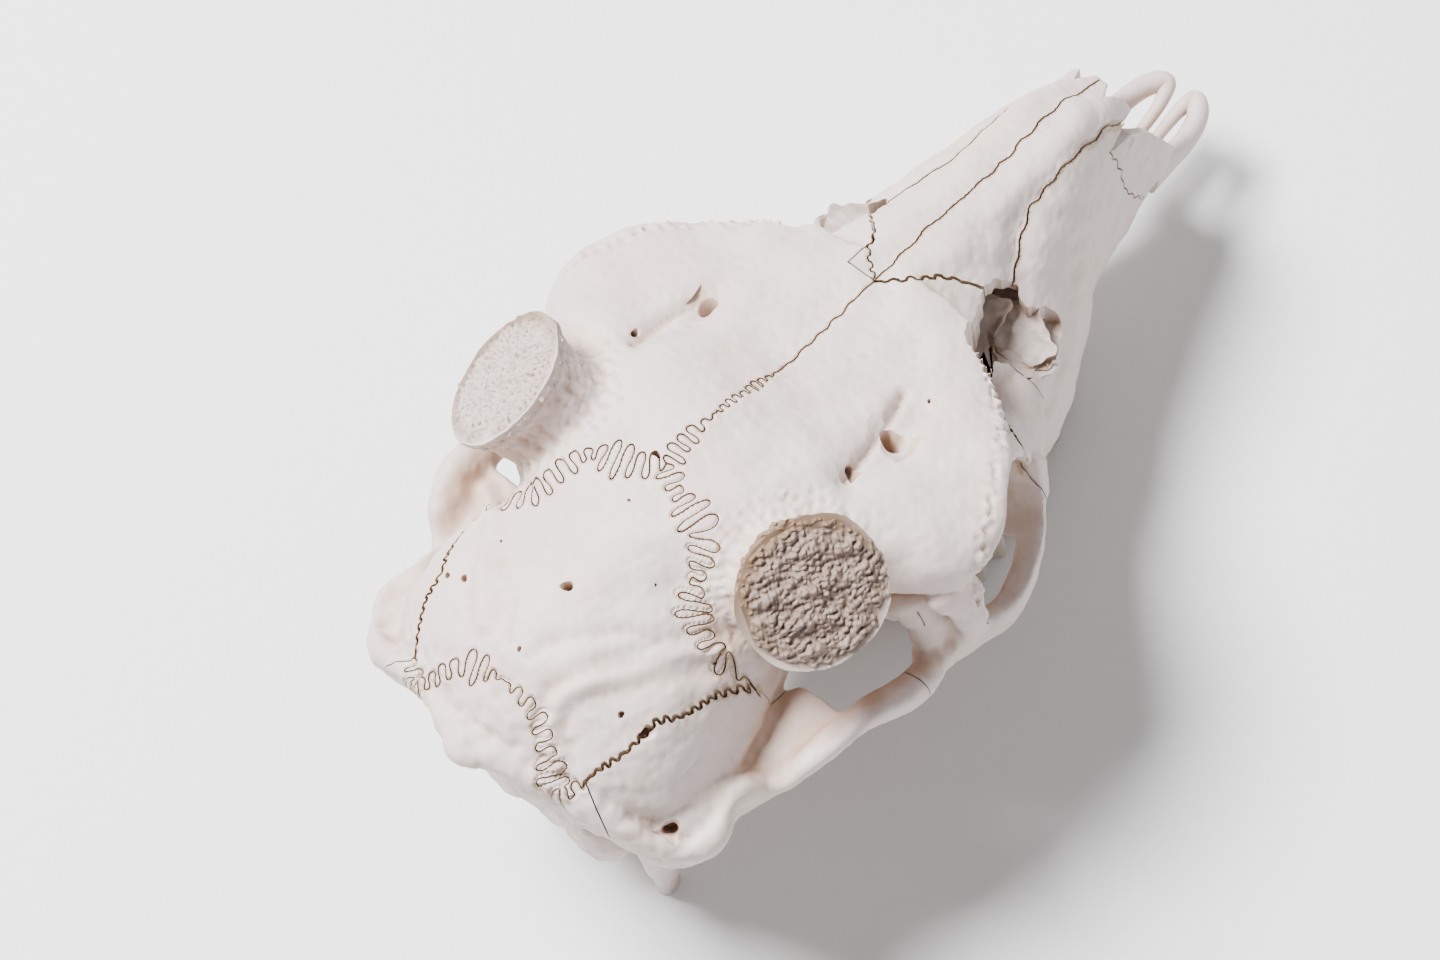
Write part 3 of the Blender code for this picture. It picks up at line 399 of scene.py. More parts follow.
class PlanMap:
    """The distance from lines seen from above, kept on a grid up to a limit and read for any points.

    Each point of the lines stamps its distance to the cells around it, and the least one stays.
    """

    def __init__(self, lines, limit):
        marks = np.vstack([even_line(line, 0.12)[0] if len(line) < 60 else np.array(line)
                           for line in lines])
        self.limit = limit
        self.low = marks.min(axis=0) - limit - 1
        size = np.ceil((marks.max(axis=0) + limit + 1 - self.low) / CELL).astype(int)
        span = np.arange(-int(limit / CELL), int(limit / CELL) + 1)
        offsets = np.stack(np.meshgrid(span, span, indexing="ij"), -1).reshape(1, -1, 2)
        cells = np.floor((marks - self.low) / CELL).astype(int)[:, None] + offsets
        gaps = np.linalg.norm((cells + 0.5) * CELL + self.low - marks[:, None], axis=2)
        self.grid = np.full(size, float(limit))
        np.minimum.at(self.grid, (cells[..., 0], cells[..., 1]), gaps)

    def read(self, plan):
        """The distance at each plan point, which is the limit off the map."""
        cell = np.floor((plan - self.low) / CELL).astype(int)
        inside = np.all((cell >= 0) & (cell < self.grid.shape), axis=1)
        found = np.full(len(plan), self.limit)
        found[inside] = self.grid[cell[inside, 0], cell[inside, 1]]
        return found


def field(places, size, seed, count=18):
    """A random swell over space: a sum of plane waves near one length, in random directions."""
    rng = np.random.default_rng(seed)
    ways = rng.normal(size=(count, 3))
    ways *= (2 * math.pi / (size * rng.uniform(0.7, 1.5, count)) / np.linalg.norm(ways, axis=1))[:, None]
    total = np.zeros(len(places))
    for way, start in zip(ways, rng.uniform(0, 2 * math.pi, count)):
        total += np.cos(places @ way + start)
    return total / math.sqrt(count / 2)


def measured(mesh):
    """The mesh's vertices and normals as arrays, in the skull's own millimetres."""
    count = len(mesh.vertices)
    places, normals = np.empty(count * 3), np.empty(count * 3)
    mesh.vertices.foreach_get("co", places)
    mesh.vertices.foreach_get("normal", normals)
    return places.reshape(-1, 3) / MM + (MIDDLE_X, 0, 0), normals.reshape(-1, 3)


def pedicle(side):
    """The middle of a stump's cut face and the way it points, on one side of the head."""
    return np.array(PEDICLE_FACE) * (1, side, 1), np.array(PEDICLE_AXIS) * (1, side, 1)


def about_pedicle(places, side):
    """How high points lie over a stump's cut face, and how far they are from its axis."""
    face, axis = pedicle(side)
    height = (places - face) @ axis
    return height, np.linalg.norm(places - face - height[:, None] * axis, axis=1)


def cast_on(tree, pixel):
    """The point and normal of the bone that the photo shows at a pixel."""
    start = (EYE - Vector((MIDDLE_X, 0, 0))) * MM
    place, normal, _, _ = tree.ray_cast(start, sight(pixel))
    return np.array(place) / MM + (MIDDLE_X, 0, 0), np.array(normal)


TEMPORAL_RIDGES = [[(753, 654), (688, 656), (635, 670), (577, 687), (554, 712), (549, 739), (558, 765)],
                   [(486, 491), (492, 516), (482, 562), (479, 592), (482, 621)]]
FURROWS = [[(530, 655), (551, 642), (590, 636), (628, 632), (660, 640)],
           [(545, 690), (600, 672), (660, 664), (720, 662)], [(497, 560), (512, 600), (508, 640)]]
BROW_GUTTERS = [[(851, 472), (868, 448), (888, 420), (905, 392)],
                [(634, 333), (655, 318), (676, 306), (700, 297)]]
BROW_TROUGHS = [[(850, 476), (872, 455), (895, 440), (915, 410)],
                [(640, 332), (665, 322), (695, 312), (716, 296)]]
SOCKET_RIMS = [[(160, 31), (155, 34), (148, 43), (144, 46), (136.6, 50.7), (126.3, 56), (119.6, 59.6),
                (112, 64)]]
tree = BVHTree.FromObject(skull, bpy.context.evaluated_depsgraph_get())


def plan_of(pixels):
    """The plan line on the bone under a row of pixels."""
    return [tuple(cast_on(tree, pixel)[0][:2]) for pixel in pixels]


wide_seams = [line for side in (1, -1) for line in (seams[side]["coronal"], seams[side]["lambdoid"])]
fine_seams = [line for side in (1, -1) for line in (seams[side]["squamosal"], seams[side]["brow"],
                                                    seams[side]["nasofrontal"])]
open_seams = [internasal, seams[1]["nasomaxillary"], seams[-1]["nasomaxillary"]]
seam_map = PlanMap(wide_seams + fine_seams + open_seams + [interfrontal], 1.4)
loop_map = PlanMap(wide_seams + [interfrontal], 1.4)
ridge_map = PlanMap([plan_of(line) for line in TEMPORAL_RIDGES], 6.0)
furrow_map = PlanMap([plan_of(line) for line in FURROWS], 4.0)
gutter_map = PlanMap([plan_of(line) for line in BROW_GUTTERS], 3.0)
trough_map = PlanMap([plan_of(line) for line in BROW_TROUGHS], 9.0)
flank_map = PlanMap([seams[side]["nasomaxillary"][::6] for side in (1, -1)], 9.0)
rim_map = PlanMap([on_side(line, side) for line in SOCKET_RIMS for side in (1, -1)], 2.4)

# Finer faces where a suture runs, so that its lips and gutter are shape
places, normals = measured(skull.data)
near = (seam_map.read(places[:, :2]) < 1.3) & (places[:, 2] > 72) & (normals[:, 2] > 0.1)
shape = bmesh.new()
shape.from_mesh(skull.data)
shape.verts.ensure_lookup_table()
picked = {shape.verts[i] for i in np.flatnonzero(near)}
fine = [edge for edge in shape.edges if edge.verts[0] in picked and edge.verts[1] in picked]
bmesh.ops.subdivide_edges(shape, edges=fine, cuts=2, use_grid_fill=True)
bmesh.ops.triangulate(shape, faces=[face for face in shape.faces if len(face.verts) > 4])
shape.to_mesh(skull.data)
shape.free()

places, normals = measured(skull.data)
plan = places[:, :2]
seen = np.clip(normals[:, 2] * 3, 0, 1) * (places[:, 2] > 70)
rise = 0.42 * field(places, 24, 1) + 0.16 * field(places, 9, 2) + 0.045 * field(places, 3, 3)
rise += 0.03 * field(places, 1.7, 4)
seam = seam_map.read(plan)
loop = loop_map.read(plan)
rise += seen * (0.05 * np.exp(-((loop - 0.75) / 0.28) ** 2) - 0.3 * np.exp(-(loop / 0.33) ** 2))
rise -= seen * 0.1 * np.exp(-(seam / 0.3) ** 2)
ridge = ridge_map.read(plan)
rise += seen * (0.95 * np.exp(-(ridge / 1.5) ** 2) - 0.45 * np.exp(-((ridge - 3.4) / 1.4) ** 2))
rise -= seen * 0.7 * np.exp(-(furrow_map.read(plan) / 1.5) ** 2)
rise -= seen * 1.5 * np.exp(-(gutter_map.read(plan) / 1.25) ** 2)
rise -= seen * 2.6 * np.exp(-(trough_map.read(plan) / 4.6) ** 2)
rim = np.exp(-(rim_map.read(plan) / 1.5) ** 2) * (places[:, 2] > 92)
rise += rim * 0.4 * field(places * (1, 1, 0.3), 1.9, 5)
rise += np.clip((34 - places[:, 0]) / 8, 0, 1) * 0.14 * field(places, 4.2, 8)
# The nasal bones are evenly round across, with a shallow valley where they meet
on_nose = seen * np.clip((places[:, 0] - 154) / 8, 0, 1) * np.clip((246 - places[:, 0]) / 6, 0, 1)
across = np.abs(places[:, 1])
rise += on_nose * (0.85 * np.exp(-((across - 7.5) / 3.6) ** 2) - 0.55 * np.exp(-(across / 3.0) ** 2))
rise -= on_nose * 1.3 * np.exp(-(flank_map.read(plan) / 3.4) ** 2)
# The neck of each antler stump is streaked lengthwise
for side in (1, -1):
    face, axis = pedicle(side)
    height, apart = about_pedicle(places, side)
    on_neck = np.clip((22 - apart) / 4, 0, 1) * np.clip(-height / 2, 0, 1) * np.clip((26 + height) / 8, 0, 1)
    streaks = field(places - face - 0.8 * height[:, None] * axis, 2.2, 6) + 0.6 * field(places, 1.6, 7)
    rise += on_neck * 0.2 * streaks
moved = (places + normals * rise[:, None] - (MIDDLE_X, 0, 0)) * MM
skull.data.vertices.foreach_set("co", moved.ravel())
skull.data.update()


# The openings with sharp edges: the cut faces of the stumps, the ear holes, the windows beside the
# nose, the slanting mouth of the nose, and the small holes by which vessels ran through the bone.
EAR_HOLE = ((45, 40, 62), (2.6, 9, 2.8))
SIDE_WINDOW = [(157.8, 27.7), (159.2, 24.4), (166.8, 20.3), (173.7, 17.6), (177.3, 16.2), (184, 19),
               (181.5, 23), (187.5, 26), (186, 30.2), (180, 32.6), (169.3, 34), (167.1, 29.2)]
WINDOW_FLOOR = 70.0
NOSE_MOUTH = [(228.5, 77.2), (242.6, 73.8), (242.6, 120), (300, 120), (300, 20), (255, 20), (255, 40.5),
              (249, 54), (244.5, 63.5), (238.5, 70.5)]
NOSE_NOTCH = [(237.5, 4.3), (242, 1.8), (250, 1.2), (250, 8.0), (243, 6.6)]
# Vessel holes: pixel of the photo, radius, depth
VESSEL_HOLES = [((893, 441), 2.8, 10), ((850, 473), 1.3, 7), ((929, 401), 0.4, 3), ((707, 306), 2.4, 9),
                ((636, 333), 1.0, 5), ((567, 586), 1.15, 6), ((629, 500), 0.35, 2.5),
                ((447, 575), 0.65, 4), ((464, 578), 0.7, 4), ((621, 715), 0.7, 3), ((646, 734), 1.3, 6),
                ((671, 830), 1.7, 7), ((715, 664), 0.4, 2), ((656, 585), 0.3, 2), ((501, 541), 0.3, 2),
                ((519, 649), 0.5, 3)]
FLOOR_CUT = [(-20, -OUT), (320, -OUT), (320, OUT), (-20, OUT)]
NASAL_TIP = (241.5, 80.4)              # x, z of the middle line's front and back ends
NASION = (157.6, 110.0)


def prism(outline, low, high, axis="Z"):
    """An outline extruded between two levels. On Z it is x, y, and on Y it is x, z."""
    ring = np.array(outline, float)
    levels = [np.array([level(p[0]) if callable(level) else level for p in ring])
              for level in (low, high)]
    if axis == "Z":
        return skin("prism", np.stack([np.column_stack([ring, level]) for level in levels]))
    return skin("prism", np.stack([np.column_stack([ring[:, 0], level, ring[:, 1]])
                                   for level in levels]))


def bore(place, normal, radius, depth, seed):
    """A hole down into the bone: rings of an uneven radius, wide at the lip, that narrow with depth."""
    way = Vector(normal) * 0.75 - sight((720, 480)) * 0.25
    way.normalize()
    side = np.array(way.orthogonal().normalized())
    other = np.cross(np.array(way), side)
    turn = np.linspace(0, 2 * math.pi, 28, endpoint=False)
    uneven = 1 + 0.16 * np.sin(2 * turn + seed) + 0.08 * np.sin(3 * turn + 2 * seed)
    down = np.array([-2.0, -0.25, 0.15, 0.8, depth * 0.6, depth])
    wide = radius * np.array([2.2, 1.5, 1.1, 0.95, 0.85, 0.5])
    arm = np.cos(turn)[:, None] * side + np.sin(turn)[:, None] * other
    grid = place - down[:, None, None] * np.array(way) + (wide[:, None] * uneven)[:, :, None] * arm
    return skin("bore", grid)


def ragged(outline, reach, seed):
    """A closed outline read at even steps, with each point moved by a broken random edge."""
    path, places = even_line(outline + outline[:1], 0.4)
    ahead = np.gradient(path, axis=0)
    ahead /= np.linalg.norm(ahead, axis=1)[:, None]
    shove = reach * slow_wave(places, 3.1, np.random.default_rng(seed))
    return (path + shove[:, None] * np.column_stack([-ahead[:, 1], ahead[:, 0]]))[:-1]


tree = BVHTree.FromObject(skull, bpy.context.evaluated_depsgraph_get())
bores = [bore(*cast_on(tree, pixel), radius, depth, number)
         for number, (pixel, radius, depth) in enumerate(VESSEL_HOLES)]
cuts = [lump("ear_hole", *EAR_HOLE), stump("pedicle_trim", PEDICLE_TRIM)]
cuts += [mirrored(cut) for cut in cuts] + bores
for side in (1, -1):
    cuts.append(prism(ragged(on_side(SIDE_WINDOW, side), 0.5, 80 + side), WINDOW_FLOOR, ROOF))
    cuts.append(prism(on_side(NOSE_NOTCH, side), NASAL_TIP[1] - 12, ROOF))
cuts.append(prism(NOSE_MOUTH, -OUT, OUT, "Y"))
cuts.append(prism(FLOOR_CUT, -20, 0.0))
for cut in cuts:
    combine(skull, cut, "DIFFERENCE")


# The bones, parted along their sutures. Each keeps its own colour and grain, as in a real skull.
SEAM = 0.34                            # width of a tight suture
CRACK = 0.45                           # width of one that drying has opened
NASAL_DEPTH = 15.0
FRONTAL_FLOOR = 92.0
ARCH_TOP = 99.0
PARIETAL_FLOOR = 98.0
LACRIMAL_FLOOR = 66.0
TEMPORAL_STEP = 72.0
PALATINE_TOP = 50.0
ZYGOMATIC_FLOOR = 36.0
BELOW = -5.0
ACROSS = 8.0                           # how far a right bone's outline reaches past the middle
TIP_FRONT = [(300, 8), (300, 73.5), (243.6, 73.5)]


def grow_outline(outline, amount):
    """Each side of an outline moved outward by amount, with mitred corners.

    A point that repeats the one before it is left out, because a side without length has no way out.
    """
    points = np.array(outline, float)
    points = points[np.linalg.norm(points - np.roll(points, 1, axis=0), axis=1) > 1e-6]
    after = np.roll(points, -1, axis=0) - points
    area = np.sum(points[:, 0] * np.roll(points[:, 1], -1) - np.roll(points[:, 0], -1) * points[:, 1])
    normal = np.column_stack([after[:, 1], -after[:, 0]]) * np.sign(area)
    normal /= np.linalg.norm(normal, axis=1)[:, None]
    before = np.roll(normal, 1, axis=0)
    bend = 1.0 + np.sum(normal * before, axis=1)
    return points + amount * (normal + before) / np.maximum(bend, 0.6)[:, None]


def edge_ends(mesh):
    """The numbers of the two vertices of each edge."""
    ends = np.empty(len(mesh.edges) * 2, np.int32)
    mesh.edges.foreach_get("vertices", ends)
    return ends.reshape(-1, 2)


def largest_body(solid):
    """The solid without loose crumbs: each vertex takes the lowest number it can reach by edges."""
    mesh = solid.data
    ends = edge_ends(mesh)
    label = np.arange(len(mesh.vertices))
    changed = True
    while changed:
        low = np.minimum(label[ends[:, 0]], label[ends[:, 1]])
        fresh = label.copy()
        np.minimum.at(fresh, ends[:, 0], low)
        np.minimum.at(fresh, ends[:, 1], low)
        fresh = fresh[fresh]
        changed = not np.array_equal(fresh, label)
        label = fresh
    kinds, counts = np.unique(label, return_counts=True)
    shape = bmesh.new()
    shape.from_mesh(mesh)
    shape.verts.ensure_lookup_table()
    loose = np.flatnonzero(label != kinds[counts.argmax()])
    bmesh.ops.delete(shape, geom=[shape.verts[i] for i in loose], context="VERTS")
    shape.to_mesh(mesh)
    shape.free()
    return solid


def piece_of(rest, *outlines, axis="Z", seam=SEAM):
    """Cut one bone out of what is left of the skull: its outlines, each with a low and high level."""
    bone = placed("bone", rest.data.copy())
    for solid, operation, slack in ((bone, "INTERSECT", -seam), (rest, "DIFFERENCE", 0.0)):
        parts = [prism(grow_outline(outline, slack) if slack else outline, low, high, axis)
                 for outline, low, high in outlines]
        for other in parts[1:]:
            combine(parts[0], other, "UNION")
        combine(solid, parts[0], operation)
    return largest_body(bone)


def under_crown(x):
    """The level under the nasal bones, a set depth below the roof of the nose."""
    slope = (NASAL_TIP[1] - NASION[1]) / (NASAL_TIP[0] - NASION[0])
    return NASION[1] + slope * (x - NASION[0]) - NASAL_DEPTH


bones = {}
for side, name in ((1, "left"), (-1, "right")):
    bones["premaxilla_" + name] = piece_of(
        skull, (listed(tip_seam) + TIP_FRONT, *sorted((side * 0.1, side * OUT))), axis="Y", seam=0.4)
for side, name in ((1, "left"), (-1, "right")):
    seam_of = seams[side]
    middle_line = internasal if side > 0 else [(157.5, ACROSS), (250, ACROSS)]
    bones["nasal_" + name] = piece_of(
        skull, (middle_line[::-1] + seam_of["nasofrontal"] + seam_of["nasomaxillary"]
                + [(250, 9.9 * side)], under_crown, ROOF), seam=CRACK)
for side, name in ((1, "left"), (-1, "right")):
    seam_of = seams[side]
    middle_line = interfrontal if side > 0 else [(87.3, ACROSS), (157.5, ACROSS)]
    front = middle_line + seam_of["nasofrontal"][1:] + seam_of["brow"]
    back = seam_of["coronal"][::-1]
    bones["frontal_" + name] = piece_of(
        skull, (front + on_side([(149, OUT), (64, OUT)], side) + back, ARCH_TOP, ROOF),
        (front + on_side([(149, OUT), (108, OUT), (101, 51), (70, 45)], side) + back, FRONTAL_FLOOR,
         ARCH_TOP + 1))
squamosal_left, squamosal_right = seams[1]["squamosal"], seams[-1]["squamosal"]
lambdoid_left, lambdoid_right = seams[1]["lambdoid"], seams[-1]["lambdoid"]
bones["parietal"] = piece_of(skull, ([(112, 38)] + squamosal_left + lambdoid_left[1:]
                                     + lambdoid_right[::-1][1:] + squamosal_right[::-1][1:]
                                     + [(112, -38)], PARIETAL_FLOOR, ROOF))
for side, name in ((1, "left"), (-1, "right")):
    seam_of = seams[side]
    tear_corner = on_side([(167.1, 29.2), (169.3, 35.5), (172, 50), (170, OUT), (149, OUT)], side)
    bones["lacrimal_" + name] = piece_of(skull, (seam_of["brow"][::-1] + tear_corner, LACRIMAL_FLOOR, ROOF))
    bones["temporal_" + name] = piece_of(
        skull, (on_side([(93, 45), (80, 38)], side) + seam_of["squamosal"]
                + on_side([(21.5, 29), (16, 40), (10, 60), (10, OUT), (93, OUT)], side),
                TEMPORAL_STEP, ROOF),
        (on_side([(26, 31.5), (20, 45), (10, 60), (10, OUT), (93, OUT), (93, 30), (69, 28), (69, 11.5),
                  (43, 11.5), (43, 31.5)], side), BELOW, TEMPORAL_STEP + 1))
    bones["zygomatic_" + name] = piece_of(
        skull, (on_side([(92, 46), (92, OUT), (151, OUT), (155, 44.5), (150, 38.5), (140, 44),
                         (118, 44)], side), ZYGOMATIC_FLOOR, ROOF))
back_half = [(-5, 60), (10, 60), (43.5, 34), (43.5, 14), (54, 14)]
bones["occipital"] = piece_of(skull, (on_side(back_half, 1) + on_side(back_half[::-1], -1), BELOW, ROOF))
for side, name in ((1, "left"), (-1, "right")):
    inner = 0.0 if side > 0 else -ACROSS
    bones["maxilla_" + name] = piece_of(
        skull, (on_side([(115, 15.5), (115, 50), (150, OUT), (300, OUT), (300, inner), (152, inner),
                         (150, 15.5)], side), BELOW, ROOF))
    bones["palatine_" + name] = piece_of(
        skull, (on_side([(103, inner), (103, 40), (152, 40), (152, inner)], side), BELOW, PALATINE_TOP))
bones["sphenoid"] = largest_body(skull)


# The nose tip: each front bone runs on as a thin bar that bends round and comes back by the middle.
# It is the same bare bone, grown in one piece with the rest, so it is joined to it without a seam.
# Rows down the bar: x, y, z, half thickness, half height.
NOSE_BAR = [(247, 10.8, 35, 1.8, 6), (252, 10.5, 34, 2.1, 6), (257, 10.2, 32.6, 2.4, 5),
            (262, 9.8, 31, 2.7, 4), (268, 8.7, 30.2, 2.8, 3.4), (272, 6.7, 30, 2.8, 3.1),
            (273.6, 4.3, 29.6, 2.5, 2.8), (270, 2.8, 28.8, 1.9, 2.3), (264, 2.3, 27.8, 1.6, 2),
            (254, 2.3, 27.4, 1.5, 2), (245, 2.5, 28, 1.5, 2)]
for side, name in ((1, "left"), (-1, "right")):
    bar = strap("nose_bar", [(x, y * side, z, thick, tall) for x, y, z, thick, tall in NOSE_BAR],
                0.0, 20, 8)
    combine(bones["premaxilla_" + name], bar, "UNION")


# The faces from which the antlers dropped: living bone was resorbed there, which left a domed and
# spongy surface of worm-like ridges and pits, with a rough brown rim that stands over the neck.
FACE_RINGS = 100
FACE_STEPS = 300
FACE_RADIUS = 16.7
for side, name in ((1, "left"), (-1, "right")):
    face, axis = pedicle(side)
    across = np.cross(axis, (0, 0, 1))
    across /= np.linalg.norm(across)
    other = np.cross(axis, across)
    turn = np.linspace(0, 2 * math.pi, FACE_STEPS, endpoint=False)
    part = np.linspace(0.004, 1, FACE_RINGS)[:, None] ** 0.8
    edge = FACE_RADIUS * (1.01 + 0.018 * np.sin(3 * turn + side) + 0.012 * np.sin(7 * turn)
                          + 0.008 * np.sin(19 * turn + 1) + 0.006 * np.sin(31 * turn))
    arm = np.cos(turn)[:, None] * across + np.sin(turn)[:, None] * other
    flat = face + (part * edge)[:, :, None] * arm
    spots = flat.reshape(-1, 3)
    grain_way = np.array((0.35, 0.2, 1.0))
    ridges = 0.34 * np.abs(field(spots * (1, 1.5, 1), 3.4, 90 + side))
    ridges += 0.2 * np.abs(field(spots, 1.9, 92 + side)) + 0.15 * field(spots, 1.25, 94 + side)
    ridges += 0.32 * field(spots * grain_way, 2.6, 99 + side) - 0.4
    height = 0.2 + 1.0 * (1 - part ** 2) + ridges.reshape(part.shape[0], -1)
    height -= 1.1 * np.clip(part - 0.9, 0, 1) ** 2 / 0.01
    top = flat + height[:, :, None] * axis
    hem = []
    for depth, wide in ((1.7, 1.0), (2.6, 0.97), (3.8, 0.93), (5.4, 0.84)):
        brink = wide * edge + 0.16 * field(face + edge[:, None] * arm - depth * axis, 1.6, 98)
        hem.append(face + brink[:, None] * arm - depth * axis)
    cap = skin("stump_face", np.concatenate([top, np.array(hem)]))
    combine(bones["frontal_" + name], cap, "UNION")


# The cheek teeth: pairs of tall lobes, ribbed on the cheek side, each worn to a ridge round a hollow.
TEETH = [(9.5, 3.9, 1), (10.5, 4.6, 1), (10.5, 5.2, 1), (14.0, 6.0, 2), (16.0, 6.6, 2), (16.5, 6.4, 2)]
TOOTH_ROW_FRONT = 202.5
TOOTH_ROW_LINE = [(126, 24), (145, 25.5), (160, 25.2), (175, 22.7), (190, 18.9), (204, 15.2)]
# Down a lobe from its root, over the worn edge and into the hollow: z, share of its width
LOBE = [(17, 0.80), (12, 0.90), (8, 0.97), (4, 0.97), (1.5, 0.90), (0.5, 0.84), (0.0, 0.80), (0.0, 0.70),
        (0.9, 0.60), (2.2, 0.46), (2.6, 0.38), (1.4, 0.28), (0.6, 0.2), (0.5, 0.02)]


def lobe(x, y, half, deep, side):
    """One tooth lobe: r = 1 + ribs on the cheek side, scaled down the rows of its profile."""
    turn = np.linspace(0, 2 * math.pi, 48, endpoint=False)
    cheek = np.clip(np.sin(turn), 0, 1)
    ribs = 1 + 0.10 * cheek * np.cos(6 * (turn - math.pi / 2)) - 0.05 * np.cos(2 * turn)
    z, share = np.array(LOBE).T[:, :, None]
    tilt = (LOBE[0][0] - z) * 0.03
    grid = np.stack([x + deep * share * ribs * np.cos(turn),
                     (y + tilt + half * share * ribs * np.sin(turn)) * side, z + 0 * turn], 2)
    return skin("lobe", grid)


teeth = {}
tooth_line = smooth_rows(TOOTH_ROW_LINE, 6)
for side, name in ((1, "left"), (-1, "right")):
    lobes = []
    front = TOOTH_ROW_FRONT
    for length, half, count in TEETH:
        pitch = length / count
        for number in range(count):
            x = front - pitch * (number + 0.5)
            y = np.interp(x, tooth_line[:, 0], tooth_line[:, 1])
            lobes.append(lobe(x, y, half, pitch / 2 + 0.35, side))
        front -= length
    with bpy.context.temp_override(active_object=lobes[0], selected_editable_objects=lobes):
        bpy.ops.object.join()
    teeth[name] = lobes[0]


# The scrolls that show in each window: leaves of bone as thin as paper, cupped and torn at the edge,
# that lie over one another like petals above the plate that carries them.
# Each leaf: outline in the photo, its level, how it climbs along X and outward, how deep it is cupped
LEAVES = [([(972, 296), (985, 297), (1001, 303), (1013, 305), (1007, 318), (997, 331), (993, 345),
            (997, 359), (985, 365), (975, 366), (968, 352), (968, 336)], 81.5, (0.1, -0.4), 1.8),
          ([(1004, 318), (1014, 307), (1027, 303), (1038, 308), (1040, 321), (1047, 330), (1052, 342),
            (1057, 350), (1050, 357), (1040, 361), (1030, 365), (1014, 357), (1002, 351), (994, 345),
            (996, 331)], 76.5, (0.25, -0.2), 1.4),
          ([(982, 366), (988, 354), (996, 348), (998, 358), (1010, 353), (1022, 360), (1036, 368),
            (1050, 365), (1058, 357), (1054, 368), (1038, 377), (1015, 381), (995, 378)], 75.5,
           (-0.4, -0.2), 1.0),
          ([(1006, 304), (1018, 300), (1032, 298), (1046, 296), (1056, 296), (1050, 304), (1036, 309),
            (1022, 307), (1012, 310)], 76, (0.1, -0.3), 0.4)]
SCROLL_PLATE = [(160, 26.5), (167, 22), (176, 19.5), (183, 22.5), (185, 26), (181.5, 27.5), (178, 31),
                (170, 32.5), (167, 28.5)]


def plan_at(pixel, level):
    """The plan point at a level under a pixel of the photo, on the left side of the head."""
    way = sight(pixel)
    place = EYE + way * ((level - EYE.z) / way.z)
    return place.x, -place.y


def leaf(pixels, level, climb, cup, side, seed):
    """A thin cupped leaf: rings from its middle to a torn outline on top, and back again beneath.

    With r the share of the way to the outline, z = level + the climb + cup * r^2 + a small swell.
    """
    rim = ragged([plan_at(pixel, level) for pixel in pixels], 0.4, seed)
    rim = rim[np.linspace(0, len(rim) - 1, 90).astype(int)] * (1, side)
    centre = rim.mean(axis=0)
    share = np.linspace(0.02, 1, 26)[:, None, None]
    plan = centre + share * (rim - centre)
    z = level + (plan - centre) @ (np.array(climb) * (1, side)) + cup * share[:, :, 0] ** 2
    swell = field(np.dstack([plan, z]).reshape(-1, 3), 5, seed).reshape(z.shape)
    top = np.dstack([plan, z + 0.45 * swell * share[:, :, 0]])
    under = top[::-1] - (0, 0, 0.55)
    return skin("leaf", np.concatenate([top, under]))


for side, name in ((1, "left"), (-1, "right")):
    base = prism(on_side(SCROLL_PLATE, side), 71, 75)
    for number, (pixels, level, climb, cup) in enumerate(LEAVES):
        combine(base, leaf(pixels, level, climb, cup, side, 110 + 3 * number), "UNION")
    bones["ethmoid_" + name] = base


# Dry bone: off white with faint pink and ochre clouds, fine pores and a dull sheen. It is browner in
# the sutures and on the spongy faces, where grease and soil stay, and painted shade darkens the depth of the
# hollows, the creases and the pits of the spongy faces.
STAIN_REACH = 1.0
BROWN = (0.38, 0.27, 0.18, 1)          # soil in the sutures
SPONGE = (0.20, 0.135, 0.105, 1)       # the stump faces, their pits and their rims
# painted shade in the creased pits of the stump faces
PIT_SHADE = (0.11, 0.075, 0.05, 1)
RIM = (0.17, 0.10, 0.055, 1)


def neighbour_mean(values, ends, count):
    """For each vertex the mean of a value over the vertices that share an edge with it."""
    total = np.bincount(ends[:, 0], values[ends[:, 1]], count)
    total += np.bincount(ends[:, 1], values[ends[:, 0]], count)
    shared = np.bincount(ends.ravel(), minlength=count)
    return total / np.maximum(shared, 1)


def write_value(mesh, name, values):
    """Keep one number per vertex in the mesh, for its material to read."""
    layer = mesh.attributes.new(name, "FLOAT", "POINT")
    layer.data.foreach_set("value", values.astype(np.float32))


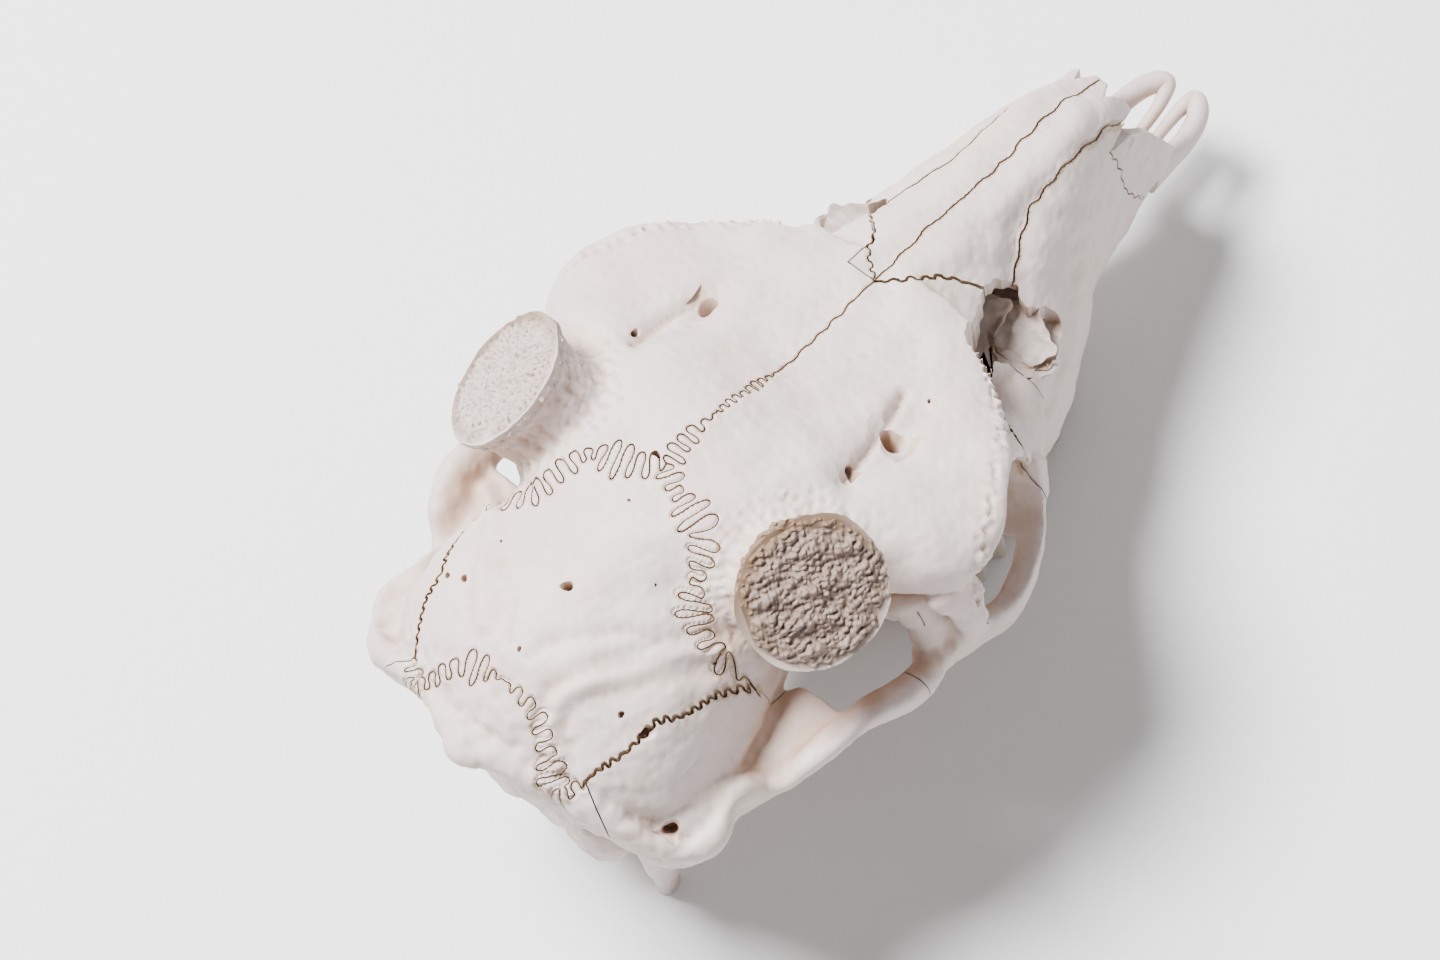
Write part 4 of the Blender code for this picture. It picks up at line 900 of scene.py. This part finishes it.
def store_stain_and_shade(bone, tree, seed):
    """Store how deep in a hollow each vertex lies and how creased it is, for painted shade, and how near a
    suture.

    Depth is the share of spread rays that meet bone within 45 mm, cast from every ninth vertex and
    then averaged over the neighbours until it covers them all.
    """
    mesh = bone.data
    places, normals = measured(mesh)
    count = len(places)
    ends = edge_ends(mesh)
    rng = np.random.default_rng(seed)
    sample = np.arange(0, count, 9)
    ways = rng.normal(size=(len(sample), 10, 3))
    ways /= np.linalg.norm(ways, axis=2)[:, :, None]
    ways = ways * 0.98 + normals[sample][:, None]
    ways /= np.linalg.norm(ways, axis=2)[:, :, None]
    starts = (places[sample] + normals[sample] * 0.4 - (MIDDLE_X, 0, 0)) * MM
    hits = [sum(tree.ray_cast(start, way, 45 * MM)[0] is not None for way in fan)
            for start, fan in zip(starts.tolist(), ways.tolist())]
    known, weight = np.zeros(count), np.zeros(count)
    known[sample] = np.array(hits) / 10
    weight[sample] = 1.0
    for _ in range(14):
        known = 0.5 * known + 0.5 * neighbour_mean(known, ends, count)
        weight = 0.5 * weight + 0.5 * neighbour_mean(weight, ends, count)
    hollow = known / np.maximum(weight, 1e-6)
    eased = np.stack([neighbour_mean(places[:, k], ends, count) for k in (0, 1, 2)], 1)
    crease = np.sum((eased - places) * normals, axis=1)
    for _ in range(2):
        crease = 0.5 * crease + 0.5 * neighbour_mean(crease, ends, count)
    lowest = 72 + 26 * np.clip((40 - places[:, 0]) / 10, 0, 1)
    seam = np.clip(1 - seam_map.read(places[:, :2]) / STAIN_REACH, 0, 1) * (places[:, 2] > lowest)
    write_value(mesh, "hollow", np.clip(hollow, 0, 1))
    crease[seam > 0.1] = 0
    write_value(mesh, "crease", np.clip(0.5 + crease * 4, 0, 1))
    write_value(mesh, "seam", seam)


def linked(nodes, links, kind, inputs, **settings):
    """A node of a kind with its settings, its inputs given as values or as other nodes' outputs."""
    node = nodes.new(kind)
    for key, value in settings.items():
        setattr(node, key, value)
    for key, value in inputs.items():
        if isinstance(value, bpy.types.NodeSocket):
            links.new(value, node.inputs[key])
        else:
            node.inputs[key].default_value = value
    return node


def dry_bone(name, pale, stump=0.0, grain=1.0):
    """The material of one bone: clouds, mottling, stains and painted shade by its stored numbers, pores and
    sheen.
    """
    paint = bpy.data.materials.new(name)
    paint.use_nodes = True
    nodes, links = paint.node_tree.nodes, paint.node_tree.links
    shader = nodes["Principled BSDF"]
    place = nodes.new("ShaderNodeTexCoord").outputs["Object"]

    def noise(scale, detail, rough=0.55):
        return linked(nodes, links, "ShaderNodeTexNoise", {"Vector": place, "Scale": scale * grain,
                      "Detail": detail, "Roughness": rough}).outputs["Fac"]

    def spread(value, low, high, to_low=0.0, to_high=1.0):
        return linked(nodes, links, "ShaderNodeMapRange",
                      {"Value": value, "From Min": low, "From Max": high, "To Min": to_low,
                       "To Max": to_high}).outputs["Result"]

    def stored(name):
        return linked(nodes, links, "ShaderNodeAttribute", {}, attribute_name=name).outputs["Fac"]

    def blend(share, one, two, way="MIX"):
        node = linked(nodes, links, "ShaderNodeMix", {}, data_type="RGBA", blend_type=way)
        for socket, value in ((node.inputs[0], share), (node.inputs[6], one), (node.inputs[7], two)):
            if isinstance(value, bpy.types.NodeSocket):
                links.new(value, socket)
            else:
                socket.default_value = value
        return node.outputs[2]

    def times(one, two):
        node = linked(nodes, links, "ShaderNodeMath", {0: one, 1: two}, operation="MULTIPLY")
        return node.outputs[0]

    light = (*pale, 1)
    pink = (pale[0] * 0.95, pale[1] * 0.88, pale[2] * 0.90, 1)
    straw = (pale[0] * 0.96, pale[1] * 0.90, pale[2] * 0.80, 1)
    ochre_shade = (pale[0] * 0.70, pale[1] * 0.54, pale[2] * 0.40, 1)
    colour = blend(spread(noise(38, 4), 0.42, 0.66), light, pink)
    colour = blend(spread(noise(55, 5), 0.5, 0.72), colour, straw)
    colour = blend(spread(noise(420, 6, 0.65), 0.3, 0.75, 0.0, 0.35), colour, pink)
    # painted shade: bone deep in a hollow, by its stored ray occlusion, turns ochre
    colour = blend(spread(stored("hollow"), 0.25, 0.85, 0.0, 0.95), colour, ochre_shade)
    # painted shade: creases turn ochre by how concave they are
    colour = blend(spread(stored("crease"), 0.54, 0.8, 0.0, 0.55), colour, ochre_shade)
    facing = linked(nodes, links, "ShaderNodeSeparateXYZ",
                    {0: nodes.new("ShaderNodeNewGeometry").outputs["True Normal"]}).outputs[2]
    upright = linked(nodes, links, "ShaderNodeMath", {0: facing}, operation="ABSOLUTE").outputs[0]
    wall = times(spread(stored("seam"), 0.2, 0.4), spread(upright, 0.55, 0.25))
    line = times(spread(stored("seam"), 0.52, 0.82, 0.0, 0.9), spread(noise(90, 2), 0.35, 0.6, 0.4, 1))
    soiled = linked(nodes, links, "ShaderNodeMath", {0: wall, 1: line}, operation="MAXIMUM")
    colour = blend(soiled.outputs[0], colour, BROWN)
    if stump:
        taupe = times(stored("stump"), spread(noise(260, 4), 0.35, 0.65, 0.85 * stump, stump))
        colour = blend(taupe, colour, SPONGE)
        # painted shade: the most creased pits of a stump face go nearly black
        pit_shade = times(stored("stump"), spread(stored("crease"), 0.5, 0.75, 0.0, 0.9))
        colour = blend(pit_shade, colour, PIT_SHADE)
        colour = blend(stored("rim"), colour, RIM)
    links.new(colour, shader.inputs["Base Color"])
    links.new(spread(noise(300, 3), 0.3, 0.7, 0.5, 0.68), shader.inputs["Roughness"])
    shader.inputs["Specular IOR Level"].default_value = 0.35
    cells = linked(nodes, links, "ShaderNodeTexVoronoi", {"Vector": place, "Scale": 520 * grain})
    pores = spread(cells.outputs["Distance"], 0.0, 0.22)
    pits = linked(nodes, links, "ShaderNodeBump", {"Height": pores, "Strength": 0.12, "Distance": 0.0003})
    rough = linked(nodes, links, "ShaderNodeBump", {"Height": noise(900, 5, 0.6), "Strength": 0.22,
                                                    "Distance": 0.0003, "Normal": pits.outputs[0]})
    links.new(rough.outputs[0], shader.inputs["Normal"])
    return paint


PALE = (0.64, 0.555, 0.52)
ENAMEL = (0.60, 0.53, 0.46)
STUMP_SHARE = {"frontal_right": 1.0, "frontal_left": 0.36}      # share of the dark spongy colour on each cut face
# The ethmoid leaves lie deep in the windows: their low tint is partly their ochre colour and partly painted
# shade.
TINTS = {"premaxilla": 0.97, "nasal": 1.0, "frontal": 1.0, "parietal": 1.0, "lacrimal": 0.93,
         "temporal": 0.97, "zygomatic": 0.96, "occipital": 0.97, "maxilla": 0.98, "palatine": 0.93,
         "ethmoid": 0.66, "sphenoid": 0.92}
shape = bmesh.new()
for bone in bones.values():
    shape.from_mesh(bone.data)
bmesh.ops.triangulate(shape, faces=shape.faces[:])
tree = BVHTree.FromBMesh(shape)
shape.free()
for number, (name, bone) in enumerate(bones.items()):
    bone.name = name + "_bone"
    bone.data.name = bone.name
    store_stain_and_shade(bone, tree, number)
    if name in STUMP_SHARE:
        side = 1 if name.endswith("left") else -1
        places, normals = measured(bone.data)
        height, apart = about_pedicle(places, side)
        on_face = (height > -3.2) & (apart < 20)
        write_value(bone.data, "stump", on_face * np.clip((17.6 - apart) / 1.2, 0.25, 1))
        up_left = -np.array(IMAGE_RIGHT + image_down) / math.sqrt(2)
        toward = (places - pedicle(side)[0]) @ up_left
        rim = np.clip((apart - 13.0) / 2.2, 0, 1) * on_face * np.clip(0.5 + toward / 16, 0.1, 1)
        write_value(bone.data, "rim", rim * 0.85)
    tint = TINTS[name.split("_")[0]]
    bone.data.materials.clear()
    stump_share = STUMP_SHARE.get(name, 0.0)
    bone.data.materials.append(dry_bone(bone.name, tuple(tint * part for part in PALE), stump_share))
    bone.data.shade_smooth()
    bone.data.set_sharp_from_angle(angle=math.radians(48))
    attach(bone, "root")
    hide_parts(name)
for name, row in teeth.items():
    row.name = row.data.name = "cheek_teeth_" + name
    enamel = dry_bone(row.name, ENAMEL, 0.0, 1.5)
    enamel.node_tree.nodes["Principled BSDF"].inputs["Coat Weight"].default_value = 0.35
    row.data.materials.clear()
    row.data.materials.append(enamel)
    store_stain_and_shade(row, tree, 70)
    row.data.shade_smooth()
    row.data.set_sharp_from_angle(angle=math.radians(55))
    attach(row, "root")
    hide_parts("maxilla_" + name)


# The studio: a pale floor that the skull stands on, a soft key light from the upper left of the
# picture, and an even white surround.
floor_mesh = bpy.data.meshes.new("floor")
floor_mesh.from_pydata([(-4, -4, 0), (4, -4, 0), (4, 4, 0), (-4, 4, 0)], [], [(0, 1, 2, 3)])
floor = placed("floor", floor_mesh)
paper = bpy.data.materials.new("pale_paper")
paper.use_nodes = True
paper_shader = paper.node_tree.nodes["Principled BSDF"]
paper_place = paper.node_tree.nodes.new("ShaderNodeTexCoord").outputs["Object"]
paper_noise = linked(paper.node_tree.nodes, paper.node_tree.links, "ShaderNodeTexNoise",
                     {"Vector": paper_place, "Scale": 260, "Detail": 5})
paper_tone = linked(paper.node_tree.nodes, paper.node_tree.links, "ShaderNodeMapRange",
                    {"Value": paper_noise.outputs["Fac"], "To Min": 0.77, "To Max": 0.81})
paper.node_tree.links.new(paper_tone.outputs["Result"], paper_shader.inputs["Base Color"])
paper_shader.inputs["Roughness"].default_value = 0.9
floor.data.materials.append(paper)

world = bpy.data.worlds.new("studio")
bpy.context.scene.world = world
world.use_nodes = True
world.node_tree.nodes["Background"].inputs["Color"].default_value = (0.97, 0.98, 1, 1)
world.node_tree.nodes["Background"].inputs["Strength"].default_value = 0.4
CENTRE = Vector((0.0, 0.0, 0.07))
LIGHTS = [("key", (-0.9, -0.85, 1.3), 0.75, 142), ("fill", (0.9, -0.3, 1.3), 1.2, 3)]
for name, (right, down, back), size, power in LIGHTS:
    light = placed(name, bpy.data.lights.new(name, "AREA"))
    light.data.shape = "DISK"
    light.data.size = size
    light.data.energy = power
    light.location = CENTRE + IMAGE_RIGHT * right + image_down * down - LOOK * back
    light.rotation_euler = (CENTRE - light.location).to_track_quat("-Z", "Y").to_euler()
